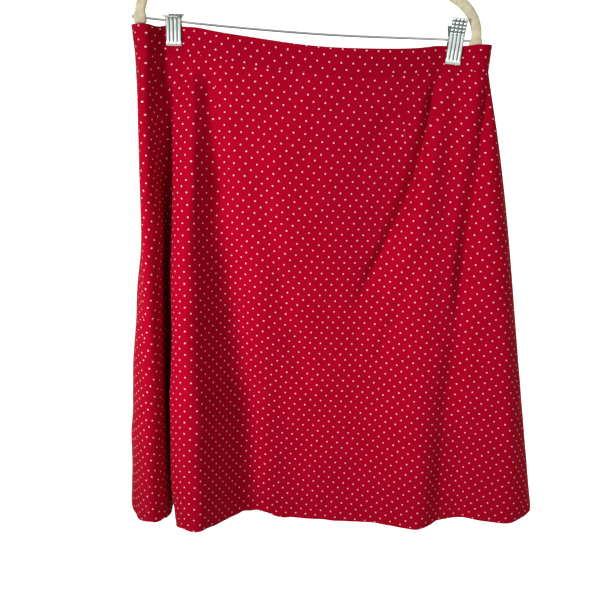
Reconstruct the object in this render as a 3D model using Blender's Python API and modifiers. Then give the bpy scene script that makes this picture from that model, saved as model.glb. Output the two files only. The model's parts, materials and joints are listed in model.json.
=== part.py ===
"""A-line skirt of pin-dot cloth, held in two ribbed steel clips on a flocked hanger.

Metres, +Z up, and the viewer looks along +Y. The origin is the inside top of the hook,
where a rail carries it. Every piece is drawn in the hanger's own upright frame and then
hangs from an empty at the hook, which leans as the skirt's uneven weight turns it.

The cloth is one closed curve at each distance below the waist edge. Each curve runs
through the fold lines of FOLDS, and each fold line keeps its own length as it drops, so
the hem rises where the cloth leans out.
"""

import math
from collections import namedtuple

import bmesh
import bpy
import numpy as np

MM = 0.001

# Skirt: distances down the cloth, from the waist edge.
BAND_DEPTH = 29 * MM
SKIRT_LENGTH = 612 * MM
DART_POINT = 130 * MM
THIGH = 350 * MM
BAND_WALL = 2.0 * MM
PANEL_WALL = 1.2 * MM
SEAM_GAP = 0.3 * MM
BAND_ROWS = 3
PANEL_ROWS = 18
ROW_GROWTH = 1.15  # rows lie closer together near the waistband

# Hanger.
HANG_LEAN = math.radians(4.2)
HOOK_TO_WAIST = 208 * MM
SKIRT_OFF_CENTRE = 6 * MM
HOOK_RADIUS = 19 * MM
HOOK_WIRE = 3.4 * MM
ARM_WIDTH = 13.5 * MM
ARM_THICKNESS = 6 * MM
HUB_RISE = 113 * MM
HALF_SPAN = 193 * MM
ROD_WIRE = 2.5 * MM
ROD_RISE = 15.6 * MM
ROD_BOW = 4.2 * MM
ROD_END = 202.5 * MM
ROD_BORE = 3.3 * MM
ROD_HEAD = 4.2 * MM
ROD_HEAD_LENGTH = 0.9 * MM
ARM_SQUARENESS = 0.7  # 1 is an ellipse, and less is boxier
ARM_SIDES = 12
ARM_STATIONS = 53
COLLAR_FOOT = 9.2 * MM
COLLAR_TOP = 6.4 * MM
COLLAR_HEIGHT = 9 * MM

# Clips: each holds the waistband with the rod between its two plates.
CLIP_LEFT = -161 * MM
CLIP_RIGHT = 164 * MM
CLIP_WIDTH = 17.5 * MM
LEVER_LENGTH = 20 * MM
PLATE_STEEL = 0.8 * MM
RIB_HEIGHT = 1.1 * MM
RIBS = 4
SPRING_RADIUS = 2.7 * MM
SPRING_LENGTH = 9 * MM
PINCH_OUT = 1.5 * MM  # the cloth between the jaws, from the middle of the wall
PINCH_HALF = 11 * MM  # flat this far to each side of a clip's middle
PINCH_REACH = 27 * MM  # and free again beyond this
PINCH_FADE = 120 * MM  # the distance below the waist edge where the pinch has opened

# Where each fold runs. edge: how far its top lies below the middle of the waist edge.
# x and out: its place to the right of the skirt's middle and towards the viewer, at the
# waistband, the dart points, the thigh and the hem. All in millimetres, left to right
# along the front and back again along the back.
Fold = namedtuple(
    "Fold",
    "name edge waist_x waist_out dart_x dart_out thigh_x thigh_out hem_x hem_out",
)
FOLDS = (
    Fold("left_seam", -5, -201, 11, -197, 12, -182, 44, -165, 66),
    Fold("tube_crest", -5, -190, 19, -188, 30, -174, 48, -157, 62),
    Fold("tube_flank", -6, -176, 12, -174, 24, -166, 38, -150, 52),
    Fold("cleft_left", -8, -168, 5, -169, 6, -164.5, -8, -147.5, -26),
    Fold("cleft", -8, -161, 3, -164, -5, -160, -22, -143.5, -42),
    Fold("cleft_right", -8, -154, 4, -159, 3, -155.5, -8, -139.5, -26),
    Fold("ridge_flank", -8, -146, 5, -150, 13, -148, 38, -135, 56),
    Fold("ridge_crest", -7, -131, 8, -133, 20, -125, 53, -105, 85),
    Fold("dart_valley", -4, -110, 13, -114, 11, -80, 5, -48, 20),
    Fold("front_left", 0, -66, 18, -58, 20, -38, 6, -24, 17),
    Fold("centre_front", 4, -3, 21, -3, 22, -4, 8, -5, 17),
    Fold("front_right", 2, 62, 18, 64, 14, 62, 5, 84, 24),
    Fold("hollow", -5, 126, 8, 121, 6, 119, 6, 150, 34),
    Fold("right_ridge", -9, 146, 4, 149, 12, 167, 22, 194, 43),
    Fold("clip_valley", -10, 164, 3, 180, 10, 219, 19, 240, 20),
    Fold("hip_ridge", -12, 182, 10, 209, 19, 252, 25, 284, 41),
    Fold("right_loop", -13, 197, 12, 225, 14, 279, 16, 328, 36),
    Fold("right_seam", -14, 206, 0, 236, 0, 291, -3, 352, 4),
    Fold("right_loop_back", -13, 197, -12, 223, -16, 274, -24, 330, -34),
    Fold("back_hip", -12, 182, -11, 206, -20, 246, -30, 282, -56),
    Fold("back_clip_right", -10, 164, -3, 178, -12, 206, -22, 236, -40),
    Fold("back_right", -5, 120, -8, 124, -18, 140, -34, 170, -68),
    Fold("back_middle_right", 1, 60, -15, 62, -24, 70, -28, 92, -46),
    Fold("centre_back", 3, -3, -17, -2, -22, 2, -34, 6, -60),
    Fold("back_left", -1, -66, -14, -62, -24, -52, -30, -46, -44),
    Fold("back_ridge", -5, -130, -6, -122, -32, -106, -68, -96, -100),
    Fold("back_clip_left", -8, -161, -3, -160, -16, -154, -56, -146, -86),
    Fold("loop_back", -6, -186, -15, -186, -28, -193, -46, -190, -74),
    Fold("left_side", -5, -203, -2, -196, -8, -202, 4, -208, 0),
)
FOLD_NAMES = [fold.name for fold in FOLDS]
LEFT_SEAM = 0
RIGHT_SEAM = FOLD_NAMES.index("right_seam")
LEVELS = np.array([BAND_DEPTH, DART_POINT, THIGH, SKIRT_LENGTH])
FINE_STEPS = 24
CHORD_POWER = 0.6  # how far the curve's speed follows the distance between fold lines

# The hanger's right arm: how far from the middle, and how far above the waist edge.
ArmPoint = namedtuple("ArmPoint", "name out rise")
ARM = (
    ArmPoint("tip", 193, 7.5),
    ArmPoint("rod", 193.5, 20),
    ArmPoint("curl", 189.5, 35),
    ArmPoint("shoulder", 179, 49),
    ArmPoint("slope_end", 164, 59),
    ArmPoint("slope", 128, 73.5),
    ArmPoint("slope_top", 84, 89.5),
    ArmPoint("neck", 38, 104.5),
)

# The hook below its round eye: to the right of the middle, and down from the rail.
HookPoint = namedtuple("HookPoint", "name x drop")
HOOK_TAIL = (
    HookPoint("eye_end", 9.5, 41),
    HookPoint("swan", 3.2, 47.5),
    HookPoint("stem_bend", 0.4, 54),
    HookPoint("stem_top", 0, 58),
)
EYE_START = 195  # degrees round the eye, from +x
EYE_END = -40
EYE_POINTS = 21

# A clip's plate from its lip up to the bend at the spring: out from the clip's middle
# plane, up from the rod, and whether the ribs stand out there.
JawPoint = namedtuple("JawPoint", "name out rise ribbed")
JAW = (
    JawPoint("lip", 3.7, -26.5, 0),
    JawPoint("bite", 2.85, -24.3, 0),
    JawPoint("low", 3.1, -21.5, 1),
    JawPoint("middle", 3.3, -12, 1),
    JawPoint("spring", 3, -3, 1),
    JawPoint("bend", 3, 4.5, 1),
)
# The lever above the bend: the part of its length, and whether the ribs stand out there.
LEVER = ((0.12, 1), (0.5, 1), (0.88, 1), (1, 0))

# How far each clip's levers lean from upright, and how far the clip turns about the rod's
# middle towards the sagging cloth, in degrees.
Clip = namedtuple("Clip", "side centre front_lean back_lean turn")
CLIPS = (
    Clip("left", CLIP_LEFT, 96, 66, 2.8),
    Clip("right", CLIP_RIGHT, 14, 42, -1.7),
)


# ---- curves -------------------------------------------------------------------------


def natural_spline(knots, values, at):
    """Cubic curve through values at knots, with no bend at its two ends."""
    count = len(knots)
    gaps = np.diff(knots)
    system = np.eye(count)
    turns = np.zeros_like(values)
    for i in range(1, count - 1):
        system[i, i - 1 : i + 2] = gaps[i - 1], 2 * (gaps[i - 1] + gaps[i]), gaps[i]
        rise = (values[i + 1] - values[i]) / gaps[i]
        turns[i] = 6 * (rise - (values[i] - values[i - 1]) / gaps[i - 1])
    bend = np.linalg.solve(system, turns.reshape(count, -1)).reshape(values.shape)
    i = int(np.clip(np.searchsorted(knots, at, side="right") - 1, 0, count - 2))
    return cubic_piece(values[i], values[i + 1], bend[i], bend[i + 1], gaps[i], at - knots[i])


def cubic_piece(start, end, bend_start, bend_end, span, along):
    """The cubic between two knots, from its ends and its second derivatives there."""
    left = span - along
    curved = (bend_start * left**3 + bend_end * along**3) / (6 * span)
    straight = (start / span - bend_start * span / 6) * left
    return curved + straight + (end / span - bend_end * span / 6) * along


def closed_spline(points, steps):
    """Closed cubic curve through the points, with this many samples from each to the next."""
    count = len(points)
    after = np.roll(points, -1, axis=0)
    gaps = np.linalg.norm((after - points)[:, :2], axis=1) ** CHORD_POWER
    before = np.roll(gaps, 1)
    rise = (after - points) / gaps[:, None]
    system = np.zeros((count, count))
    for i in range(count):
        system[i, i - 1] = before[i]
        system[i, i] = 2 * (before[i] + gaps[i])
        system[i, (i + 1) % count] = gaps[i]
    bend = np.linalg.solve(system, 6 * (rise - np.roll(rise, 1, axis=0)))
    along = np.arange(steps)[None, :, None] / steps * gaps[:, None, None]
    samples = cubic_piece(
        points[:, None],
        after[:, None],
        bend[:, None],
        np.roll(bend, -1, axis=0)[:, None],
        gaps[:, None, None],
        along,
    )
    return samples.reshape(count * steps, -1)


def smooth_step(low, high, value):
    """0 below low, 1 above high, and a soft S between."""
    part = np.clip((value - low) / (high - low), 0, 1)
    return part * part * (3 - 2 * part)


# ---- cloth --------------------------------------------------------------------------


def pinched(points, distance):
    """Points of one section, pressed flat between the clips' jaws near the waistband."""
    grip = 1 - smooth_step(BAND_DEPTH, PINCH_FADE, distance)
    for clip in CLIPS:
        near = grip * (1 - smooth_step(PINCH_HALF, PINCH_REACH, abs(points[:, 0] - clip.centre)))
        flat = np.sign(points[:, 1]) * PINCH_OUT
        points[:, 1] += near * (flat - points[:, 1])
    return points


def cloth_section(distance):
    """Closed plan curve (x, out, edge) of the cloth at this distance below its edge."""
    table = np.array([fold[1:] for fold in FOLDS]) * MM
    places = table[:, 1:].reshape(len(FOLDS), 4, 2).transpose(1, 0, 2)
    at_level = natural_spline(LEVELS, places, max(distance, BAND_DEPTH))
    points = np.column_stack([at_level, table[:, 0]])
    return pinched(closed_spline(points, FINE_STEPS), distance)


def cloth_grid(first, last, distances, steps):
    """Rows of points on the cloth's middle surface, from one fold line to another.

    The plan place comes from cloth_section. The drop between two rows is what is left of
    their distance along the cloth after the sideways step: sqrt(step^2 - sideways^2). A
    column close to each seam keeps the two edges there square to one another.
    """
    sections = np.array([cloth_section(distance) for distance in distances])
    start, end = first * FINE_STEPS, last * FINE_STEPS
    columns = np.arange(start, end + 1, FINE_STEPS // steps)
    columns = np.sort(np.append(columns, [start + 1, end - 1])) % sections.shape[1]
    plan = sections[:, columns, :2]
    sideways = (np.diff(plan, axis=0) ** 2).sum(axis=2)
    step = np.diff(distances)[:, None]
    drops = np.sqrt(np.maximum(step**2 - sideways, 0))
    top = -sections[0, columns, 2] - distances[0]
    height = np.vstack([top, top - np.cumsum(drops, axis=0)])
    grid = np.dstack([plan[:, :, 0] + SKIRT_OFF_CENTRE, -plan[:, :, 1], height - HOOK_TO_WAIST])
    for edge, inner in ((0, 1), (-1, -2)):
        inward = grid[:, inner] - grid[:, edge]
        length = np.linalg.norm(inward, axis=1)[:, None]
        grid[:, edge] += inward / length * SEAM_GAP / 2
    return grid


def grid_faces(rows, columns):
    """Quads of a grid whose points are numbered row by row."""
    first = np.arange(rows - 1)[:, None] * columns + np.arange(columns - 1)
    quads = np.stack([first, first + 1, first + columns + 1, first + columns], axis=-1)
    return quads.reshape(-1, 4).tolist()


def sheet(name, grid, wall, material, side=0):
    """An object whose open surface is this grid, with a Solidify wall about it."""
    rows, columns = grid.shape[:2]
    mesh = bpy.data.meshes.new(name)
    mesh.from_pydata(grid.reshape(-1, 3).tolist(), [], grid_faces(rows, columns))
    mesh.shade_smooth()
    piece = place(bpy.data.objects.new(name, mesh), material)
    thick = piece.modifiers.new("Wall", "SOLIDIFY")
    thick.thickness = wall
    thick.offset = side
    thick.use_even_offset = True
    return piece


def cloth_pieces():
    """Front and back, each a waistband and a panel, 0.3 mm apart at every seam."""
    band_rows = np.linspace(0, BAND_DEPTH - SEAM_GAP / 2, BAND_ROWS)
    spread = np.linspace(0, 1, PANEL_ROWS) ** ROW_GROWTH
    panel_top = BAND_DEPTH + SEAM_GAP / 2
    panel_rows = panel_top + (SKIRT_LENGTH - panel_top) * spread
    sides = {
        "front": (LEFT_SEAM, RIGHT_SEAM, 3),
        "back": (RIGHT_SEAM, len(FOLDS), 4),
    }
    for side, (first, last, steps) in sides.items():
        band = cloth_grid(first, last, band_rows, steps)
        sheet(f"waistband_{side}", band, BAND_WALL, BAND_CLOTH)
        panel = cloth_grid(first, last, panel_rows, steps)
        sheet(f"{side}_panel", panel, PANEL_WALL, PANEL_CLOTH)


# ---- hanger -------------------------------------------------------------------------


def wire(name, points, radius, material, radii=None):
    """A round wire along these points, closed at both ends."""
    curve = bpy.data.curves.new(name, "CURVE")
    curve.dimensions = "3D"
    curve.bevel_depth = radius
    curve.bevel_resolution = 2
    curve.use_fill_caps = True
    spline = curve.splines.new("POLY")
    spline.points.add(len(points) - 1)
    for index, (point, place_of) in enumerate(zip(spline.points, points)):
        point.co = (*place_of, 1)
        point.radius = radii[index] if radii else 1
    return place(bpy.data.objects.new(name, curve), material)


def arm_outline():
    """Middle line of the hanger from tip to tip, (x, rise) in metres."""
    right = np.array([arm[1:] for arm in ARM]) * MM
    top = np.array([[0, HUB_RISE]])
    line = np.vstack([right * (-1, 1), top, right[::-1]])
    reach = np.concatenate([[0], np.cumsum(np.linalg.norm(np.diff(line, axis=0), axis=1))])
    stations = np.linspace(0, reach[-1], ARM_STATIONS)
    return np.array([natural_spline(reach, line, at) for at in stations])


def hanger_body():
    """The flocked arms: a rounded section swept from tip to tip, bored for the rod."""
    section = bpy.data.curves.new("arm_section", "CURVE")
    rim = section.splines.new("POLY")
    rim.points.add(ARM_SIDES - 1)
    for index, point in enumerate(rim.points):
        turn = 2 * math.pi * index / ARM_SIDES
        across = math.copysign(abs(math.cos(turn)) ** ARM_SQUARENESS, math.cos(turn))
        deep = math.copysign(abs(math.sin(turn)) ** ARM_SQUARENESS, math.sin(turn))
        point.co = (across * ARM_WIDTH / 2, deep * ARM_THICKNESS / 2, 0, 1)
    rim.use_cyclic_u = True
    guide = bpy.data.objects.new("arm_section", section)
    HELPERS.objects.link(guide)
    hide(guide)

    path = bpy.data.curves.new("arm_path", "CURVE")
    path.dimensions = "2D"
    path.fill_mode = "NONE"
    path.bevel_mode = "OBJECT"
    path.bevel_object = guide
    path.use_fill_caps = True
    spline = path.splines.new("POLY")
    outline = arm_outline()
    spline.points.add(len(outline) - 1)
    for point, (x, rise) in zip(spline.points, outline):
        point.co = (x, rise, 0, 1)
    swept = bpy.data.objects.new("arm_path", path)
    HELPERS.objects.link(swept)
    swept.rotation_euler = (math.radians(90), 0, 0)
    swept.location = (0, 0, -HOOK_TO_WAIST)
    bpy.context.view_layer.update()
    body_mesh = bpy.data.meshes.new_from_object(
        swept.evaluated_get(bpy.context.evaluated_depsgraph_get())
    )
    weld(body_mesh)
    body = bpy.data.objects.new("hanger_body", body_mesh)
    body.matrix_world = swept.matrix_world.copy()
    body_mesh.transform(body.matrix_world)
    body.matrix_world.identity()
    bpy.data.objects.remove(swept)
    place(body, FLOCK)

    bpy.ops.mesh.primitive_cylinder_add(
        vertices=16,
        radius=ROD_BORE / 2,
        depth=3 * HALF_SPAN,
        location=(0, 0, ROD_RISE - HOOK_TO_WAIST),
        rotation=(0, math.radians(90), 0),
    )
    drill = bpy.context.object
    drill.name = "rod_drill"
    move_to(drill, HELPERS)
    hide(drill)
    drill.parent = HANG
    bore = body.modifiers.new("Rod bore", "BOOLEAN")
    bore.operation = "DIFFERENCE"
    bore.object = drill


def rod_height(x):
    """Height of the rod's middle line: level at the arms, bowed down between them."""
    return ROD_RISE - ROD_BOW * (1 - (x / HALF_SPAN) ** 2) - HOOK_TO_WAIST


def rod():
    """The steel crossbar, with a small head outside each arm."""
    level = ROD_RISE - HOOK_TO_WAIST
    free = HALF_SPAN - ARM_WIDTH
    bowed = [(x, 0, rod_height(x)) for x in np.linspace(-free, free, 25)]
    head = ROD_HEAD / ROD_WIRE
    neck = ROD_END - ROD_HEAD_LENGTH
    ends = [(ROD_END, head), (neck, head), (neck - SEAM_GAP, 1), (HALF_SPAN - ARM_WIDTH / 2, 1)]
    left = [(-x, 0, level) for x, _ in ends]
    right = [(x, 0, level) for x, _ in reversed(ends)]
    sizes = [size for _, size in ends]
    radii = sizes + [1] * len(bowed) + sizes[::-1]
    wire("hanger_rod", left + bowed + right, ROD_WIRE / 2, STEEL, radii)


def hook():
    """The wire hook: an arc over the rail, an S back to the middle, and a stem."""
    circle = HOOK_RADIUS + HOOK_WIRE / 2
    centre = -HOOK_RADIUS
    turns = np.radians(np.linspace(EYE_START, EYE_END, EYE_POINTS))
    arc = [(circle * math.cos(turn), 0, centre + circle * math.sin(turn)) for turn in turns]
    tail = [(point.x * MM, 0, -point.drop * MM) for point in HOOK_TAIL]
    hub_top = HUB_RISE + ARM_WIDTH / 2 - HOOK_TO_WAIST
    collar_top = hub_top + COLLAR_HEIGHT
    foot = (0, 0, collar_top + SEAM_GAP)
    wire("hook", arc + tail + [foot], HOOK_WIRE / 2, STEEL)

    bpy.ops.mesh.primitive_cone_add(
        vertices=20,
        radius1=COLLAR_FOOT / 2,
        radius2=COLLAR_TOP / 2,
        depth=collar_top - hub_top - SEAM_GAP,
        location=(0, 0, (collar_top + hub_top + SEAM_GAP) / 2),
    )
    collar = bpy.context.object
    collar.name = "hook_collar"
    adopt(collar, STEEL)


def clip_plate(name, clip, facing, lever_angle):
    """One ribbed plate of a clip: jaw, bend and lever, on the side that it faces.

    Up the plate it follows JAW and then the lever, which leans out from the bend. Across,
    it stands out in RIBS round ribs that fade at the lip and at the lever's end.
    """
    lean = math.radians(lever_angle)
    profile = [(point.out * MM, point.rise * MM, point.ribbed) for point in JAW]
    bend_out, bend_rise, _ = profile[-1]
    for part, ribbed in LEVER:
        along = part * LEVER_LENGTH
        away, above = along * math.sin(lean), along * math.cos(lean)
        profile.append((bend_out + away, bend_rise + above, ribbed))
    up = np.array(profile)
    across = np.linspace(-0.5, 0.5, 4 * RIBS + 1)
    rib = 0.5 - 0.5 * np.cos(2 * math.pi * RIBS * (across + 0.5))
    slope = np.gradient(up[:, :2], axis=0)
    slope /= np.linalg.norm(slope, axis=1)[:, None]
    raised = RIB_HEIGHT * up[:, 2:] * rib
    out = up[:, :1] + raised * slope[:, 1:]
    height = up[:, 1:2] - raised * slope[:, :1]
    wide = np.broadcast_to(across * CLIP_WIDTH, out.shape)
    turn = math.radians(clip.turn)
    middle = clip.centre + SKIRT_OFF_CENTRE
    x = middle + wide * math.cos(turn) - height * math.sin(turn)
    z = rod_height(middle) + wide * math.sin(turn) + height * math.cos(turn)
    grid = np.dstack([x, -facing * out, z])
    if facing < 0:
        grid = grid[:, ::-1]
    sheet(name, grid, PLATE_STEEL, STEEL, side=1)


def clip_spring(name, clip):
    """The coil that the rod runs through, as the ring that it fills."""
    inner = ROD_WIRE / 2 + SEAM_GAP
    half = SPRING_LENGTH / 2
    profile = [(-half, inner), (half, inner), (half, SPRING_RADIUS), (-half, SPRING_RADIUS)]
    mesh = bpy.data.meshes.new(name)
    rim = [(0, 1), (1, 2), (2, 3), (3, 0)]
    mesh.from_pydata([(x, 0, radius) for x, radius in profile], rim, [])
    ring = place(bpy.data.objects.new(name, mesh), STEEL)
    x = clip.centre + SKIRT_OFF_CENTRE
    ring.location = (x, 0, rod_height(x))
    turn = ring.modifiers.new("Turn", "SCREW")
    turn.axis = "X"
    turn.steps = turn.render_steps = 16
    turn.use_merge_vertices = True
    turn.merge_threshold = 0.00001


def clips():
    """Two clips. The left one's levers are spread flat, and the right one's stand up."""
    for clip in CLIPS:
        clip_plate(f"clip_front_{clip.side}", clip, 1, clip.front_lean)
        clip_plate(f"clip_back_{clip.side}", clip, -1, clip.back_lean)
        clip_spring(f"clip_spring_{clip.side}", clip)


# ---- scene --------------------------------------------------------------------------


def material(name, colour, roughness, metallic=0):
    made = bpy.data.materials.new(name)
    made.use_nodes = True
    shader = made.node_tree.nodes["Principled BSDF"]
    shader.inputs["Base Color"].default_value = (*colour, 1)
    shader.inputs["Roughness"].default_value = roughness
    shader.inputs["Metallic"].default_value = metallic
    return made


def place(piece, finish):
    """Puts an object in the skirt's collection, under the empty that it hangs from."""
    PIECES.objects.link(piece)
    piece.data.materials.append(finish)
    piece.parent = HANG
    return piece


def adopt(piece, finish):
    """The same for an object that an operator has made."""
    piece.data.materials.append(finish)
    piece.parent = HANG
    move_to(piece, PIECES)


def move_to(piece, collection):
    for owner in list(piece.users_collection):
        owner.objects.unlink(piece)
    collection.objects.link(piece)


def hide(helper):
    helper.hide_render = True
    helper.display_type = "WIRE"


def weld(mesh):
    edit = bmesh.new()
    edit.from_mesh(mesh)
    bmesh.ops.remove_doubles(edit, verts=edit.verts, dist=0.00001)
    bmesh.ops.recalc_face_normals(edit, faces=edit.faces)
    edit.to_mesh(mesh)
    edit.free()


for leftover in list(bpy.data.objects):
    bpy.data.objects.remove(leftover)

PIECES = bpy.data.collections.new("a_line_skirt")
HELPERS = bpy.data.collections.new("helpers")
for group in (PIECES, HELPERS):
    bpy.context.scene.collection.children.link(group)

HANG = bpy.data.objects.new("hang_point", None)
HANG.rotation_euler = (0, HANG_LEAN, 0)
PIECES.objects.link(HANG)

PANEL_CLOTH = material("crimson_cotton", (0.42, 0.0, 0.02), 0.8)
BAND_CLOTH = material("crimson_waistband", (0.40, 0.0, 0.02), 0.8)
FLOCK = material("cream_flock", (0.74, 0.70, 0.55), 0.95)
STEEL = material("bright_steel", (0.78, 0.80, 0.80), 0.25, 1)

cloth_pieces()
hanger_body()
rod()
hook()
clips()
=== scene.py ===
# %% [markdown]
# # A pin-dot skirt on a clip hanger
#
# The real object is an A-line skirt of crimson cotton with woven white pin dots. It hangs
# by its waistband from two steel clips on a hanger, so the cloth falls in long soft
# folds, and one clip sits higher than the other. The frame holds its plain solids at their
# real size. This lesson makes the fine surface round that frame: cloth with its creases,
# seams and grain, and the small metal parts that carry it.
#
# The first cell loads the frame and keeps its box, so that the last cell can measure how far the
# pieces reach past it. The first cell loads the frame and keeps its box, because nothing made
# here may grow it.

# %% Load the frame
import json
import math
from collections import namedtuple

import bpy
import numpy as np
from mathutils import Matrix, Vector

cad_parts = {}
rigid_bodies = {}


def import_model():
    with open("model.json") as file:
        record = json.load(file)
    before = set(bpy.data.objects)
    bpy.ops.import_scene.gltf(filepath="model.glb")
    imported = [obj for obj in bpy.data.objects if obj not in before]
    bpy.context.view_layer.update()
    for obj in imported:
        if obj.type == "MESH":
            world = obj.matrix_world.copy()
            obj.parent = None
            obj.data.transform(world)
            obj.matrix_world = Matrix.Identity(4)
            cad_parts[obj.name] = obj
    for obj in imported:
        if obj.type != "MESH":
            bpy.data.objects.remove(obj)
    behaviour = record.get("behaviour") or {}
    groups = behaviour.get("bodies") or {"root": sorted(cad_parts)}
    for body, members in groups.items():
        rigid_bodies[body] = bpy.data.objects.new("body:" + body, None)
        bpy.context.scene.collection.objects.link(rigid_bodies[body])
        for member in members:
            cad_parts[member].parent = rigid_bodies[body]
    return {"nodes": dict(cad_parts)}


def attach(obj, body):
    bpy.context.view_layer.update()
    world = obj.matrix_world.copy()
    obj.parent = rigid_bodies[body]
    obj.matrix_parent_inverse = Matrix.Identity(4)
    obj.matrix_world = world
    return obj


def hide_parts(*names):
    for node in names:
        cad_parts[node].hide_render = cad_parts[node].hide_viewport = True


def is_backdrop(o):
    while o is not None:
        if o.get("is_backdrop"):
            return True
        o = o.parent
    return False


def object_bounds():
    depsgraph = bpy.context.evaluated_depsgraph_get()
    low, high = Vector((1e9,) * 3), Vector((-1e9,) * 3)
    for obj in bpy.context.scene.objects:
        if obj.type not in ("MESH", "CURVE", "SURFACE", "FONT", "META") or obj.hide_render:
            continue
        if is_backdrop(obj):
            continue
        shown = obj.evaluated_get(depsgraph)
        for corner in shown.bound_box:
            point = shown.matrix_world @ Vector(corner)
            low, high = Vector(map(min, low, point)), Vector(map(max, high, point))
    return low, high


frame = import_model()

for leftover in [o for o in bpy.data.objects if o.name in ("Cube", "Light", "Camera")]:
    bpy.data.objects.remove(leftover)

cad_low, cad_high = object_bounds()
MM = 0.001
print("frame nodes:", len(frame["nodes"]))
print("frame box in mm:", [round((b - a) / MM, 1) for a, b in zip(cad_low, cad_high)])

# %% [markdown]
# ## The camera and the way the hanger leans
#
# The photograph was taken from below the waistband, looking slightly down at the hem. A
# lens as long as the sensor is wide gives its soft perspective.
#
# The skirt is heavier on one side, so the whole hanger leans about its hook. Every piece
# below is worked out upright and then turned by that lean: the new x is x cos + z sin,
# and the new z is z cos - x sin.

# %% Camera and lean
CAMERA_PLACE = (-0.0242, -0.747, -0.3125)
CAMERA_PITCH = math.radians(15.1)
SENSOR = 36.0
LENS = 36.0
HANG_LEAN = math.radians(4.2)

camera = bpy.data.objects.new("camera", bpy.data.cameras.new("camera"))
camera.data.sensor_width = SENSOR
camera.data.lens = LENS
camera.location = CAMERA_PLACE
camera.rotation_euler = (math.pi / 2 - CAMERA_PITCH, 0, 0)
bpy.context.scene.collection.objects.link(camera)
bpy.context.scene.camera = camera


def hung(points):
    """Turns upright points (x, y, z) about the hook by the hanger's lean."""
    c, s = math.cos(HANG_LEAN), math.sin(HANG_LEAN)
    x, y, z = np.moveaxis(np.asarray(points, float), -1, 0)
    return np.stack([x * c + z * s, y, z * c - x * s], axis=-1)


print("a point 1 m under the hook hangs at", hung([0, 0, -1]).round(3))

# %% [markdown]
# ## From grids of points to meshes
#
# Every surface here is a grid: one number runs down it and another runs across. A few
# small helpers turn such grids into closed meshes, so that each later cell only has to say
# where its points are.
#
# A sheet of cloth or steel is a middle surface with a thickness. Near each edge the
# thickness follows a quarter circle down to nothing, so the edge is round and the two
# faces share the same last line of points, and the mesh is closed with no separate rim.

# %% Mesh helpers
def smooth_step(low, high, value):
    """0 below low, 1 above high, and 3 p^2 - 2 p^3 of the part p between."""
    part = np.clip((value - low) / (high - low), 0, 1)
    return part * part * (3 - 2 * part)


def at_corners(values):
    """Grid values at the four corners of each face, turning down first and then across."""
    corners = [values[:-1, :-1], values[1:, :-1], values[1:, 1:], values[:-1, 1:]]
    return np.stack(corners, axis=2)


def grid_quads(number):
    """Faces of a grid of point numbers."""
    return at_corners(number).reshape(-1, 4)


def unit(vectors):
    """The same directions with a length of 1."""
    return vectors / np.maximum(np.linalg.norm(vectors, axis=-1, keepdims=True), 1e-12)


def normals_of(grid):
    """Outward directions of a grid: its step down crossed with its step across."""
    return unit(np.cross(np.gradient(grid, axis=0), np.gradient(grid, axis=1)))


def length_along(lines):
    """Distance of each point from the start of its line, or of its row in a grid."""
    steps = np.linalg.norm(np.diff(lines, axis=-2), axis=-1)
    return np.insert(np.cumsum(steps, axis=-1), 0, 0, axis=-1)


def mesh_piece(name, points, faces, corner_uv=None):
    """An object at the origin with these points and faces, shaded smooth."""
    mesh = bpy.data.meshes.new(name)
    mesh.from_pydata(points.tolist(), [], np.asarray(faces, object).tolist())
    if corner_uv is not None:
        layer = mesh.uv_layers.new(name="grain")
        layer.uv.foreach_set("vector", corner_uv.astype(np.float32).ravel())
    mesh.shade_smooth()
    mesh.validate()
    piece = bpy.data.objects.new(name, mesh)
    bpy.context.scene.collection.objects.link(piece)
    return piece


def rounded_half(to_edge, half):
    """Half thickness at a distance from the edge: a quarter circle, then flat."""
    part = np.clip(to_edge / half, 0, 1)
    return half * np.sqrt(1 - (1 - part) ** 2)


def shell_faces(rows, columns):
    """Faces of a closed sheet: outer points first, then the inner ones off the edges."""
    outer = np.arange(rows * columns).reshape(rows, columns)
    inner = outer.copy()
    inside = (rows - 2) * (columns - 2)
    inner[1:-1, 1:-1] = rows * columns + np.arange(inside).reshape(rows - 2, columns - 2)
    return np.concatenate([grid_quads(outer), grid_quads(inner)[:, ::-1]])


def shell_points(middle, out, back):
    """Outer points, then inner ones, at these distances from the middle surface."""
    normals = normals_of(middle)
    outer = middle + normals * out[..., None]
    inner = middle - normals * back[..., None]
    return np.concatenate([outer.reshape(-1, 3), inner[1:-1, 1:-1].reshape(-1, 3)])


def outward(points, faces):
    """The faces as they are, or all turned round where they enclose a negative volume."""
    halves = [[face[0], face[1], face[2]] for face in faces]
    halves += [[face[0], face[2], face[3]] for face in faces if len(face) == 4]
    corner = (points - points.mean(axis=0))[np.array(halves)]
    volume = np.einsum("ij,ij->i", corner[:, 0], np.cross(corner[:, 1], corner[:, 2])).sum()
    return [face[::-1] for face in faces] if volume < 0 else faces


def boxy_circle(turn, power):
    """Cosine and sine of turn, their sizes raised to a power: the smaller, the boxier."""
    return [np.sign(wave) * abs(wave) ** power for wave in (np.cos(turn), np.sin(turn))]


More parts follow.
